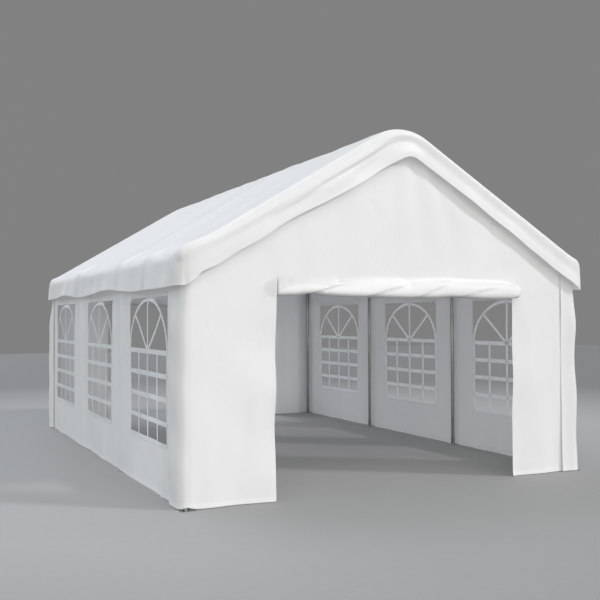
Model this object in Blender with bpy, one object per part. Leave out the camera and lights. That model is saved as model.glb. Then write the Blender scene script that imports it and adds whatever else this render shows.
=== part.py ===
"""A white party marquee: a steel tube frame of four portals under a pitched
fabric roof, with window walls along the sides and an end wall at each gable
whose door is rolled up over an open doorway.

Units are metres, +Z is up and +Y runs along the ridge. The origin is on the
ground at the middle of the tent. The front end is at -Y.
"""

import math

import bmesh
import bpy
from mathutils import Matrix, Vector

# Overall sizes of the tent
WIDTH = 4.00
LENGTH = 5.90
EAVE_HEIGHT = 2.02
ROOF_PITCH = math.radians(31.0)
BAYS = 3

# Steel frame
TUBE_RADIUS = 0.019
FITTING_RADIUS = 0.0225
FITTING_ARM = 0.11
ELBOW_RADIUS = 0.07
FOOT_PLATE = 0.12
FOOT_PLATE_THICKNESS = 0.004
FOOT_SOCKET_HEIGHT = 0.09
PEG_HOLE_RADIUS = 0.006
PEG_HOLE_INSET = 0.018

# Fabric
SHEET = 0.004
EAVE_OVERHANG = 0.025
GABLE_OVERHANG = 0.062
VALANCE_DROP = 0.26
VALANCE_FLARE = 0.025
RIDGE_ROUNDING = 0.40
EAVE_ROUNDING = 0.12
CORNER_ROUNDING = 0.045
WALL_BOTTOM = 0.007
SIDE_WALL_BELOW_EAVE = 0.06
FRONT_FLAP = 0.35
BACK_FLAP = 0.18
SIDE_FLAP = 0.18

# Windows in the side walls
WINDOW_WIDTH = 1.20
WINDOW_SPACING = 1.932
WINDOW_SILL = 0.42
WINDOW_HEAD = 1.69
PANE_THICKNESS = 0.002

# Doorway and the door rolled up over it
DOOR_LEFT = -1.20
DOOR_RIGHT = 1.23
DOOR_BELOW_EAVE = 0.21
ROLL_RADIUS = 0.07
ROLL_PAST_LEFT = 0.13
ROLL_PAST_RIGHT = 0.05

# Gap kept between pieces that touch, and facets of round pieces
GAP = 0.0003
SIDES = 16
ARC_STEPS = 6

# Sizes worked out from the driving sizes
EAVE_X = WIDTH / 2 + EAVE_OVERHANG
RAKE_Y = LENGTH / 2 + GABLE_OVERHANG
SIDE_WALL_TOP = EAVE_HEIGHT - SIDE_WALL_BELOW_EAVE
DOOR_HEAD = EAVE_HEIGHT - DOOR_BELOW_EAVE
FRAME_DEPTH = SHEET + GAP + FITTING_RADIUS
CORNER_CLEARANCE = CORNER_ROUNDING - (CORNER_ROUNDING - FITTING_RADIUS) / math.sqrt(2)
FRAME_INSET = SHEET + 3 * GAP + CORNER_CLEARANCE
POST_X = WIDTH / 2 - FRAME_INSET
END_Y = LENGTH / 2 - FRAME_INSET
PORTAL_YS = [-END_Y + 2 * END_Y * i / BAYS for i in range(BAYS + 1)]
SHARP_RIDGE = EAVE_HEIGHT + EAVE_X * math.tan(ROOF_PITCH)
RIDGE_TOP = SHARP_RIDGE - RIDGE_ROUNDING * (1 / math.cos(ROOF_PITCH) - 1)


def clear_scene():
    """Removes what the startup file holds."""
    for obj in list(bpy.data.objects):
        bpy.data.objects.remove(obj)


def make_material(name, colour, roughness, metallic=0.0, alpha=1.0):
    """A Principled material with one colour."""
    material = bpy.data.materials.new(name)
    material.use_nodes = True
    shader = material.node_tree.nodes["Principled BSDF"]
    shader.inputs["Base Color"].default_value = (*colour, 1.0)
    shader.inputs["Roughness"].default_value = roughness
    shader.inputs["Metallic"].default_value = metallic
    shader.inputs["Alpha"].default_value = alpha
    return material


def add_object(name, mesh, material, location=(0, 0, 0), turn=0.0):
    """Links one object, turned about Z by an angle in radians."""
    obj = bpy.data.objects.new(name, mesh)
    obj.location = location
    obj.rotation_euler = (0, 0, turn)
    if not mesh.materials:
        mesh.materials.append(material)
    bpy.context.scene.collection.objects.link(obj)
    return obj


def mesh_from(bm, name, smooth=False):
    """Turns a bmesh into a mesh with its faces pointing out."""
    bmesh.ops.recalc_face_normals(bm, faces=bm.faces)
    mesh = bpy.data.meshes.new(name)
    bm.to_mesh(mesh)
    bm.free()
    if smooth:
        mesh.shade_smooth()
        mesh.set_sharp_from_angle(angle=math.radians(40))
    return mesh


def prism_mesh(name, outline, axis, low, high):
    """Extrudes a closed outline of two coordinates along one axis (0, 1 or 2)."""
    bm = bmesh.new()
    verts = []
    for a, b in outline:
        point = [a, b]
        point.insert(axis, low)
        verts.append(bm.verts.new(point))
    face = bm.faces.new(verts)
    along = Vector((0, 0, 0))
    along[axis] = high - low
    extruded = bmesh.ops.extrude_face_region(bm, geom=[face])
    moved = [v for v in extruded["geom"] if isinstance(v, bmesh.types.BMVert)]
    bmesh.ops.translate(bm, verts=moved, vec=along)
    return mesh_from(bm, name)


def box_mesh(name, low, high):
    """A box between two corners."""
    outline = [(low[0], low[1]), (high[0], low[1]), (high[0], high[1]), (low[0], high[1])]
    return prism_mesh(name, outline, 2, low[2], high[2])


def rod_mesh(name, path, radii, side):
    """A closed round rod swept along a flat path.

    side is the unit vector square to the plane of the path.
    """
    bm = bmesh.new()
    side = Vector(side)
    rings = []
    for i, point in enumerate(path):
        before = Vector(path[max(i - 1, 0)])
        after = Vector(path[min(i + 1, len(path) - 1)])
        along = (after - before).normalized()
        across = along.cross(side)
        ring = []
        for k in range(SIDES):
            angle = 2 * math.pi * k / SIDES
            offset = across * math.cos(angle) + side * math.sin(angle)
            ring.append(bm.verts.new(Vector(point) + offset * radii[i]))
        rings.append(ring)
    for ring, following in zip(rings, rings[1:]):
        for k in range(SIDES):
            j = (k + 1) % SIDES
            bm.faces.new((ring[k], ring[j], following[j], following[k]))
    bm.faces.new(rings[0])
    bm.faces.new(rings[-1])
    return mesh_from(bm, name, smooth=True)


def straight_rod_mesh(name, length, radius, axis=2):
    """A straight rod from the origin along one axis (0, 1 or 2)."""
    end = Vector((0, 0, 0))
    end[axis] = length
    side = Vector((0, 0, 0))
    side[(axis + 1) % 3] = 1
    return rod_mesh(name, [Vector((0, 0, 0)), end], [radius, radius], side)


def combined_mesh(name, base, joined=(), cut=()):
    """Joins meshes to a base mesh, cuts others from it, and gives one mesh."""
    body = bpy.data.objects.new(name, base)
    bpy.context.scene.collection.objects.link(body)
    helpers = [(mesh, "UNION") for mesh in joined] + [(mesh, "DIFFERENCE") for mesh in cut]
    others = []
    for mesh, operation in helpers:
        other = bpy.data.objects.new(name + "_helper", mesh)
        bpy.context.scene.collection.objects.link(other)
        others.append(other)
        modifier = body.modifiers.new(operation.title(), "BOOLEAN")
        modifier.object = other
        modifier.operation = operation
    bpy.context.view_layer.update()
    graph = bpy.context.evaluated_depsgraph_get()
    result = bpy.data.meshes.new_from_object(body.evaluated_get(graph))
    result.name = name
    for obj in [body, *others]:
        bpy.data.objects.remove(obj)
    result.shade_smooth()
    result.set_sharp_from_angle(angle=math.radians(40))
    return result


def arc_points(centre, radius, start, end, steps):
    """Points (a, b) on an arc, with angles in radians."""
    points = []
    for i in range(steps + 1):
        angle = start + (end - start) * i / steps
        points.append((centre[0] + radius * math.cos(angle), centre[1] + radius * math.sin(angle)))
    return points


def roof_half_profile(depth):
    """(x, z) from the ridge to the right eave, `depth` inside the roof's outer face.

    The ridge and the eave are rounded, and the last point is where the
    valance starts to hang.
    """
    ridge_radius = RIDGE_ROUNDING - depth
    ridge_centre = (0.0, RIDGE_TOP - RIDGE_ROUNDING)
    ridge = arc_points(ridge_centre, ridge_radius, math.pi / 2, math.pi / 2 - ROOF_PITCH, ARC_STEPS)
    turn = math.pi / 2 - ROOF_PITCH
    tangent = EAVE_ROUNDING * math.tan(turn / 2)
    eave_centre = (EAVE_X - EAVE_ROUNDING, EAVE_HEIGHT - tangent)
    eave_radius = EAVE_ROUNDING - depth
    eave = arc_points(eave_centre, eave_radius, math.pi / 2 - ROOF_PITCH, 0.0, ARC_STEPS)
    return ridge + eave


def roof_height(x, depth=0.0):
    """Height of the roof's straight slope at x, `depth` inside its outer face."""
    slope = EAVE_HEIGHT + (EAVE_X - abs(x)) * math.tan(ROOF_PITCH)
    return slope - depth / math.cos(ROOF_PITCH)


def roof_line(limit, depth):
    """The half profile from the ridge out to x = limit."""
    points = roof_half_profile(depth)
    kept = [point for point in points if point[0] < limit]
    inner, outer = kept[-1], points[len(kept)]
    share = (limit - inner[0]) / (outer[0] - inner[0])
    return [*kept, (limit, inner[1] + (outer[1] - inner[1]) * share)]


def add_cover_layer(bm, depth):
    """One face of the roof sheet, `depth` inside its outer face.

    Returns the vertices round its lower edge, in order.
    """
    half = roof_half_profile(depth)
    profile = [(-x, z) for x, z in reversed(half[1:])] + half
    ends = []
    for y in (depth - RAKE_Y, RAKE_Y - depth):
        top = [bm.verts.new((x, y, z)) for x, z in profile]
        low = []
        for x, z in profile:
            slope = z if abs(x) < EAVE_X / 2 else roof_height(x, depth)
            low.append(bm.verts.new((x, y, slope - VALANCE_DROP)))
        low[0].co.x -= VALANCE_FLARE
        low[-1].co.x += VALANCE_FLARE
        ends.append((top, low))
    (front_top, front_low), (back_top, back_low) = ends
    for i in range(len(profile) - 1):
        bm.faces.new((front_top[i], front_top[i + 1], back_top[i + 1], back_top[i]))
        bm.faces.new((front_top[i + 1], front_top[i], front_low[i], front_low[i + 1]))
        bm.faces.new((back_top[i], back_top[i + 1], back_low[i + 1], back_low[i]))
    bm.faces.new((front_top[0], back_top[0], back_low[0], front_low[0]))
    bm.faces.new((back_top[-1], front_top[-1], front_low[-1], back_low[-1]))
    return front_low + back_low[::-1]


def add_roof_cover(fabric):
    """The roof sheet with its hanging valances, as one closed lid."""
    bm = bmesh.new()
    outer = add_cover_layer(bm, 0.0)
    inner = add_cover_layer(bm, SHEET)
    for i in range(len(outer)):
        bm.faces.new((outer[i - 1], outer[i], inner[i], inner[i - 1]))
    add_object("roof_cover", mesh_from(bm, "roof_cover"), fabric)


def post_mesh(height):
    """A post in its foot: a pegged plate and a socket, with the tube above."""
    half = FOOT_PLATE / 2
    plate = box_mesh("plate", (-half, -half, 0), (half, half, FOOT_PLATE_THICKNESS))
    socket = straight_rod_mesh("socket", FOOT_SOCKET_HEIGHT, FITTING_RADIUS)
    tube = straight_rod_mesh("tube", height, TUBE_RADIUS)
    holes = []
    at = half - PEG_HOLE_INSET
    for x, y in ((-at, -at), (at, at)):
        hole = straight_rod_mesh("hole", 3 * FOOT_PLATE_THICKNESS, PEG_HOLE_RADIUS)
        hole.transform(Matrix.Translation((x, y, -FOOT_PLATE_THICKNESS)))
        holes.append(hole)
    return combined_mesh("post", plate, [socket, tube], holes)


def elbow_path():
    """The centre line of an eave elbow on the right side, from its foot inwards."""
    turn = math.pi / 2 - ROOF_PITCH
    tangent = ELBOW_RADIUS * math.tan(turn / 2)
    corner_z = roof_height(POST_X, FRAME_DEPTH)
    centre = (POST_X - ELBOW_RADIUS, corner_z - tangent)
    bend = arc_points(centre, ELBOW_RADIUS, 0.0, turn, ARC_STEPS)
    foot = (POST_X, bend[0][1] - FITTING_ARM)
    end = (bend[-1][0] - FITTING_ARM * math.cos(ROOF_PITCH), bend[-1][1] + FITTING_ARM * math.sin(ROOF_PITCH))
    return [foot, *bend, end]


def ridge_path():
    """The centre line of a ridge bend, from left to right."""
    radius = RIDGE_ROUNDING - FRAME_DEPTH
    centre = (0.0, RIDGE_TOP - RIDGE_ROUNDING)
    start = math.pi / 2 + ROOF_PITCH
    bend = arc_points(centre, radius, start, math.pi - start, 2 * ARC_STEPS)
    rise = FITTING_ARM * math.sin(ROOF_PITCH)
    run = FITTING_ARM * math.cos(ROOF_PITCH)
    return [(bend[0][0] - run, bend[0][1] - rise), *bend, (bend[-1][0] + run, bend[-1][1] - rise)]


def fitting_mesh(name, path, hub, stubs):
    """A frame fitting: a bent tube in the portal's plane with stubs for the purlins.

    hub is (x, z) where the purlins meet it, and stubs lists -1 and +1 for
    the Y directions that have one.
    """
    points = [Vector((x, 0, z)) for x, z in path]
    body = rod_mesh(name, points, [FITTING_RADIUS] * len(points), (0, 1, 0))
    low = FITTING_ARM * min(0, *stubs, 0)
    high = FITTING_ARM * max(0, *stubs, 0)
    stub = straight_rod_mesh("stub", high - low, FITTING_RADIUS, axis=1)
    stub.transform(Matrix.Translation((hub[0], low, hub[1])))
    return combined_mesh(name, body, [stub])


def stubs_at(index):
    """Which ways the purlins leave the portal with this number."""
    stubs = []
    if index > 0:
        stubs.append(-1)
    if index < BAYS:
        stubs.append(1)
    return stubs


def add_rod_between(name, start, end, steel):
    """A frame tube between two points."""
    start, end = Vector(start), Vector(end)
    mesh = straight_rod_mesh(name, (end - start).length, TUBE_RADIUS)
    obj = add_object(name, mesh, steel, location=start)
    obj.rotation_euler = (end - start).to_track_quat("Z", "Y").to_euler()


def add_frame(steel, fitting_steel):
    """Posts in their feet, fittings, rafters and purlins of all the portals."""
    elbow = elbow_path()
    ridge = ridge_path()
    elbow_hub = elbow[1 + ARC_STEPS // 2]
    ridge_hub = ridge[len(ridge) // 2]
    posts = post_mesh(elbow[0][1] - GAP)
    for index, y in enumerate(PORTAL_YS):
        stubs = stubs_at(index)
        number = index + 1
        turned_stubs = [-s for s in stubs]
        sides = (("right", 1, 0.0, stubs), ("left", -1, math.pi, turned_stubs))
        for side, sign, turn, side_stubs in sides:
            add_object(f"post_{side}_{number}", posts, steel, (sign * POST_X, y, 0), turn)
            mesh = fitting_mesh("eave_fitting", elbow, elbow_hub, side_stubs)
            add_object(f"eave_fitting_{side}_{number}", mesh, fitting_steel, (0, y, 0), turn)
            run = Vector((math.cos(ROOF_PITCH), 0, -math.sin(ROOF_PITCH)))
            top = Vector((ridge[-1][0], 0, ridge[-1][1])) + run * GAP
            foot = Vector((elbow[-1][0], 0, elbow[-1][1])) - run * GAP
            top.x, foot.x = sign * top.x, sign * foot.x
            top.y = foot.y = y
            add_rod_between(f"rafter_{side}_{number}", foot, top, steel)
        mesh = fitting_mesh("ridge_fitting", ridge, ridge_hub, stubs)
        add_object(f"ridge_fitting_{number}", mesh, fitting_steel, (0, y, 0))
    inset = FITTING_ARM + GAP
    for number, (y0, y1) in enumerate(zip(PORTAL_YS, PORTAL_YS[1:]), start=1):
        lines = (
            ("eave_purlin_right", elbow_hub[0], elbow_hub[1]),
            ("eave_purlin_left", -elbow_hub[0], elbow_hub[1]),
            ("ridge_purlin", ridge_hub[0], ridge_hub[1]),
        )
        for name, x, z in lines:
            add_rod_between(f"{name}_{number}", (x, y0 + inset, z), (x, y1 - inset, z), steel)


def window_ys():
    """The middle of each window along a side wall."""
    return [WINDOW_SPACING * (i - (BAYS - 1) / 2) for i in range(BAYS)]


def window_cutters():
    """Boxes that cut the windows through both side walls."""
    reach = WIDTH / 2 + EAVE_OVERHANG
    cutters = []
    for y in window_ys():
        low = (-reach, y - WINDOW_WIDTH / 2, WINDOW_SILL)
        high = (reach, y + WINDOW_WIDTH / 2, WINDOW_HEAD)
        cutters.append(box_mesh("window", low, high))
    return cutters


def strip_outline(line, thickness):
    """A closed outline around an open line of points, thickened to its left."""
    inner = []
    for i, point in enumerate(line):
        before = Vector(line[max(i - 1, 0)])
        after = Vector(line[min(i + 1, len(line) - 1)])
        along = (after - before).normalized()
        left = Vector((-along.y, along.x))
        inner.append(tuple(Vector(point) + left * thickness))
    return list(line) + inner[::-1]


def add_left_wall(fabric):
    """The left side wall, flat between the corner posts."""
    end = LENGTH / 2 - CORNER_ROUNDING - SHEET - GAP
    outer = -WIDTH / 2
    slab = box_mesh("left_wall", (outer, -end, WALL_BOTTOM), (outer + SHEET, end, SIDE_WALL_TOP))
    add_object("left_wall", combined_mesh("left_wall", slab, cut=window_cutters()), fabric)


def add_right_wall(fabric):
    """The right side wall, whose ends turn the corners over the end walls."""
    outer_x = WIDTH / 2
    outer_y = LENGTH / 2 + GAP + SHEET
    radius = CORNER_ROUNDING + SHEET
    front = arc_points((outer_x - radius, -outer_y + radius), radius, -math.pi / 2, 0.0, ARC_STEPS)
    back = arc_points((outer_x - radius, outer_y - radius), radius, 0.0, math.pi / 2, ARC_STEPS)
    flap_x = outer_x - SIDE_FLAP
    line = [(flap_x, -outer_y), *front, *back, (flap_x, outer_y)]
    outline = strip_outline(line, SHEET)
    wall = prism_mesh("right_wall", outline, 2, WALL_BOTTOM, SIDE_WALL_TOP)
    add_object("right_wall", combined_mesh("right_wall", wall, cut=window_cutters()), fabric)


def add_panes(clear):
    """A clear pane in each window."""
    middle = WIDTH / 2 - SHEET / 2
    for side, sign in (("left", -1), ("right", 1)):
        for number, y in enumerate(window_ys(), start=1):
            half = WINDOW_WIDTH / 2 - GAP
            height = WINDOW_HEAD - WINDOW_SILL - 2 * GAP
            low = (-PANE_THICKNESS / 2, -half, 0)
            mesh = box_mesh("pane", low, (PANE_THICKNESS / 2, half, height))
            at = (sign * middle, y, WINDOW_SILL + GAP)
            add_object(f"window_pane_{side}_{number}", mesh, clear, at)


def mirrored(outline, sign):
    """The outline with its second coordinate multiplied by sign."""
    return [(a, sign * b) for a, b in outline]


def add_end_wall(end, sign, flap, fabric):
    """One end wall in three panels: beside the doorway on both sides, and over it."""
    outer_y = -LENGTH / 2
    radius = CORNER_ROUNDING + SHEET
    flap_x = -WIDTH / 2 - GAP - SHEET
    centre = (flap_x + radius, outer_y + radius)
    corner = arc_points(centre, radius, math.pi, 1.5 * math.pi, ARC_STEPS)
    line = [(flap_x, outer_y + flap), *corner, (DOOR_LEFT, outer_y)]
    seam = DOOR_HEAD
    outline = mirrored(strip_outline(line, SHEET), sign)
    left = prism_mesh("end_wall_left", outline, 2, WALL_BOTTOM, seam - GAP)
    add_object(f"{end}_wall_left", left, fabric)
    right_edge = WIDTH / 2 - CORNER_ROUNDING - SHEET - GAP
    flat = [
        (DOOR_RIGHT, outer_y),
        (right_edge, outer_y),
        (right_edge, outer_y + SHEET),
        (DOOR_RIGHT, outer_y + SHEET),
    ]
    right = prism_mesh("end_wall_right", mirrored(flat, sign), 2, WALL_BOTTOM, seam - GAP)
    add_object(f"{end}_wall_right", right, fabric)
    depth = SHEET + 2 * GAP
    left_slope = [(-x, z) for x, z in reversed(roof_line(WIDTH / 2, depth)[1:])]
    right_slope = roof_line(right_edge, depth)
    gable = [(-WIDTH / 2, seam), *left_slope, *right_slope, (right_edge, seam)]
    low, high = sorted((sign * outer_y, sign * (outer_y + SHEET)))
    add_object(f"{end}_gable", prism_mesh("gable", gable, 1, low, high), fabric)


def add_door_roll(end, sign, fabric):
    """The rolled-up door: its left end is behind the wall, its right end before it."""
    behind = -LENGTH / 2 + SHEET + GAP + ROLL_RADIUS
    before = -LENGTH / 2 - GAP - ROLL_RADIUS
    z = DOOR_HEAD - GAP - ROLL_RADIUS
    start = DOOR_LEFT - ROLL_PAST_LEFT
    finish = DOOR_RIGHT + ROLL_PAST_RIGHT
    rounding = ROLL_RADIUS / 2
    path = [(start, behind), (start + rounding, behind), (DOOR_LEFT, behind)]
    radii = [ROLL_RADIUS * 0.7, ROLL_RADIUS, ROLL_RADIUS]
    steps = 8
    for i in range(steps + 1):
        share = i / steps
        x = DOOR_LEFT + ROLL_RADIUS + (DOOR_RIGHT - DOOR_LEFT - 2 * ROLL_RADIUS) * share
        smooth = share * share * (3 - 2 * share)
        path.append((x, behind + (before - behind) * smooth))
        radii.append(ROLL_RADIUS)
    path += [(DOOR_RIGHT, before), (finish - rounding, before), (finish, before)]
    radii += [ROLL_RADIUS, ROLL_RADIUS, ROLL_RADIUS * 0.7]
    points = [Vector((x, sign * y, z)) for x, y in path]
    add_object(f"{end}_door_roll", rod_mesh("door_roll", points, radii, (0, 0, 1)), fabric)


def main():
    """Builds the marquee."""
    clear_scene()
    fabric = make_material("white_fabric", (0.86, 0.87, 0.88), 0.5)
    steel = make_material("coated_steel", (0.62, 0.63, 0.63), 0.4, 0.3)
    fitting_steel = make_material("fitting_steel", (0.5, 0.51, 0.52), 0.45, 0.4)
    clear = make_material("clear_film", (0.85, 0.88, 0.88), 0.1, alpha=0.3)
    add_frame(steel, fitting_steel)
    add_roof_cover(fabric)
    add_left_wall(fabric)
    add_right_wall(fabric)
    add_panes(clear)
    for end, sign, flap in (("front", 1, FRONT_FLAP), ("back", -1, BACK_FLAP)):
        add_end_wall(end, sign, flap, fabric)
        add_door_roll(end, sign, fabric)


main()
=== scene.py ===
"""The looks of a white party marquee: its fabric, windows, doors and frame."""
import logging
import math
from collections.abc import Sequence
from dataclasses import dataclass, field
from enum import Enum
from functools import cache

import bmesh
import bpy
import numpy as np
from mathutils import Matrix, Vector


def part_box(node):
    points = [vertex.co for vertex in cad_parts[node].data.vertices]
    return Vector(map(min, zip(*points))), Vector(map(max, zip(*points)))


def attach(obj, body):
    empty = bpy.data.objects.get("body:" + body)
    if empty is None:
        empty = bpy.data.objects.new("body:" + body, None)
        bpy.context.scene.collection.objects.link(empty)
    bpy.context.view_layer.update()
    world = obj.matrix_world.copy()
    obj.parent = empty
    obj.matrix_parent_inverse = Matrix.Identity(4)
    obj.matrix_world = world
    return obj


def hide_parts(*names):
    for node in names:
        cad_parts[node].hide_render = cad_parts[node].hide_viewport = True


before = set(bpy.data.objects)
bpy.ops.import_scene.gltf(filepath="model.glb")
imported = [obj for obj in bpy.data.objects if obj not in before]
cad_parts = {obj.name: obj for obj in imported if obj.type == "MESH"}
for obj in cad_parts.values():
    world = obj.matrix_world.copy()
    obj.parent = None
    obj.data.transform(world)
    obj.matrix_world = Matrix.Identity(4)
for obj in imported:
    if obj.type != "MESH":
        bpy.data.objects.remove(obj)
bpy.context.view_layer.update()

LOG = logging.getLogger("marquee")

Points = np.ndarray
Object = bpy.types.Object
Material = bpy.types.Material
Socket = bpy.types.NodeSocket
Colour = tuple[float, float, float]
Place = tuple[float, float, float]
Knots = tuple[tuple[float, float], ...]


class End(Enum):
    """The two gable ends, with the sign of Y that each lies on."""

    FRONT = -1
    BACK = 1


class Side(Enum):
    """The two long sides, with the sign of X that each lies on."""

    LEFT = -1
    RIGHT = 1


@dataclass(frozen=True)
class Tent:
    """The sizes that the pieces share, in metres."""

    width: float = 4.00
    length: float = 5.90
    eave_height: float = 2.02
    pitch: float = math.radians(31.0)
    bays: int = 3
    eave_overhang: float = 0.025
    gable_overhang: float = 0.062
    valance: float = 0.26
    valance_flare: float = 0.025
    ridge_rounding: float = 0.40
    eave_rounding: float = 0.12
    corner_rounding: float = 0.045
    sheet: float = 0.004
    wall_bottom: float = 0.007
    hem: float = 0.022
    hem_step: float = 0.004
    hem_clear: float = 0.05
    hem_stand: float = 0.0012
    side_wall_top: float = 1.96
    door_left: float = -1.20
    door_right: float = 1.23
    door_head: float = 1.81
    roll_radius: float = 0.07
    front_flap: float = 0.35
    back_flap: float = 0.18
    side_flap: float = 0.18
    window_width: float = 1.20
    window_spacing: float = 1.932
    window_sill: float = 0.42
    window_head: float = 1.69

    @property
    def eave_x(self) -> float:
        """How far the eave stands from the middle."""
        return self.width / 2 + self.eave_overhang

    @property
    def rake_y(self) -> float:
        """How far the rake stands from the middle."""
        return self.length / 2 + self.gable_overhang

    @property
    def slope(self) -> float:
        """Rise of the roof for each metre across."""
        return math.tan(self.pitch)

    @property
    def ridge_top(self) -> float:
        """Height of the rounded ridge."""
        sharp = self.eave_height + self.eave_x * self.slope
        return sharp - self.ridge_rounding * (1 / math.cos(self.pitch) - 1)

    @property
    def eave_drop(self) -> float:
        """How far below the sharp eave its rounding ends."""
        return self.eave_rounding * math.tan((math.pi / 2 - self.pitch) / 2)

    def slope_z(self, x: Points) -> Points:
        """Height of the roof's straight slope at each x."""
        return self.eave_height + (self.eave_x - np.abs(x)) * self.slope

    def roof_z(self, x: Points) -> Points:
        """Height of the roof at each x, with the ridge and the eaves rounded.

        Args:
            x: Places across the tent, within the eaves.

        Returns:
            The heights of the cover's outer face.
        """
        x = np.abs(np.asarray(x, float))
        z = self.slope_z(x)
        radius = self.ridge_rounding
        arc = np.sqrt(np.maximum(radius**2 - x**2, 0))
        z = np.where(x < radius * math.sin(self.pitch), self.ridge_top - radius + arc, z)
        radius = self.eave_rounding
        centre = self.eave_x - radius
        arc = np.sqrt(np.maximum(radius**2 - (x - centre) ** 2, 0))
        rounded = self.eave_height - self.eave_drop + arc
        return np.where(x > centre + radius * math.sin(self.pitch), rounded, z)

    def portal_ys(self) -> list[float]:
        """Where the four portals stand along the tent.

        Returns:
            Their y, from the front end to the back.
        """
        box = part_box("post_left_4")
        end = (box[0].y + box[1].y) / 2
        return [end * (2 * i / self.bays - 1) for i in range(self.bays + 1)]

    def wall_rows(self, stops: Sequence[float], cell: float) -> list[float]:
        """Heights of a wall's rows of points: three for its hem, then even ones that meet every stop."""
        foot, hem = self.wall_bottom, self.wall_bottom + self.hem
        return [foot, hem, hem + self.hem_step, *spaced_over([foot + self.hem_clear, *stops], cell)]

    def hem_out(self, z: Points) -> Points:
        """How far a wall's doubled hem stands out at each height."""
        return np.where(z < self.wall_bottom + self.hem + self.hem_step / 2, self.hem_stand, 0.0)

    def window_ys(self) -> list[float]:
        """The middle of each window along a side."""
        return [self.window_spacing * (i - (self.bays - 1) / 2) for i in range(self.bays)]


TENT = Tent()


def spaced(low: float, high: float, step: float) -> list[float]:
    """Even places from low to high, about a step apart, both ends included."""
    count = max(1, round((high - low) / step))
    return [low + (high - low) * i / count for i in range(count + 1)]


def spaced_over(stops: Sequence[float], step: float) -> list[float]:
    """Even places from the first stop to the last, about a step apart, that meet every stop."""
    places = [place for low, high in zip(stops, stops[1:]) for place in spaced(low, high, step)[:-1]]
    return [*places, stops[-1]]


def ease(value: Points, low: float, high: float) -> Points:
    """A smooth step from 0 at low to 1 at high."""
    share = np.clip((np.asarray(value, float) - low) / (high - low), 0, 1)
    return share * share * (3 - 2 * share)


def hump(value: Points, centre: float, width: float) -> Points:
    """A smooth hump of height 1 round a centre."""
    return np.exp(-(((np.asarray(value, float) - centre) / width) ** 2))


def spline(value: Points, knots: Sequence[tuple[float, float]]) -> Points:
    """Reads a smooth curve through knots.

    Args:
        value: Places to read the curve at.
        knots: (place, height) pairs in rising order of place.

    Returns:
        The curve's height at each place, level beyond the ends.
    """
    places = np.array([k[0] for k in knots], float)
    heights = np.array([k[1] for k in knots], float)
    slopes = np.gradient(heights, places)
    value = np.clip(np.asarray(value, float), places[0], places[-1])
    cell = np.clip(np.searchsorted(places, value) - 1, 0, len(places) - 2)
    width = places[cell + 1] - places[cell]
    t = (value - places[cell]) / width
    a = (1 + 2 * t) * (1 - t) ** 2
    b = t * t * (3 - 2 * t)
    rise = t * (1 - t) ** 2 * slopes[cell] - t * t * (1 - t) * slopes[cell + 1]
    return a * heights[cell] + b * heights[cell + 1] + width * rise


@dataclass(frozen=True)
class Ripples:
    """Smooth repeatable waves over a sheet, about 1 high, with given wavelengths."""

    seed: int
    along_a: float
    along_b: float
    waves: int = 9

    def at(self, a: Points, b: Points) -> Points:
        """Height of the waves.

        Args:
            a: First coordinate on the sheet, in metres.
            b: Second coordinate on the sheet, in metres.

        Returns:
            Heights of about -1 to 1.
        """
        draw = np.random.default_rng(self.seed)
        total = np.zeros(np.broadcast(a, b).shape)
        for _ in range(self.waves):
            angle = draw.uniform(0, math.tau)
            pace = draw.uniform(0.7, 1.5) * math.tau
            shift = draw.uniform(0, math.tau)
            run = a / self.along_a * math.cos(angle) + b / self.along_b * math.sin(angle)
            total += np.cos(pace * run + shift)
        return total / math.sqrt(self.waves)


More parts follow.
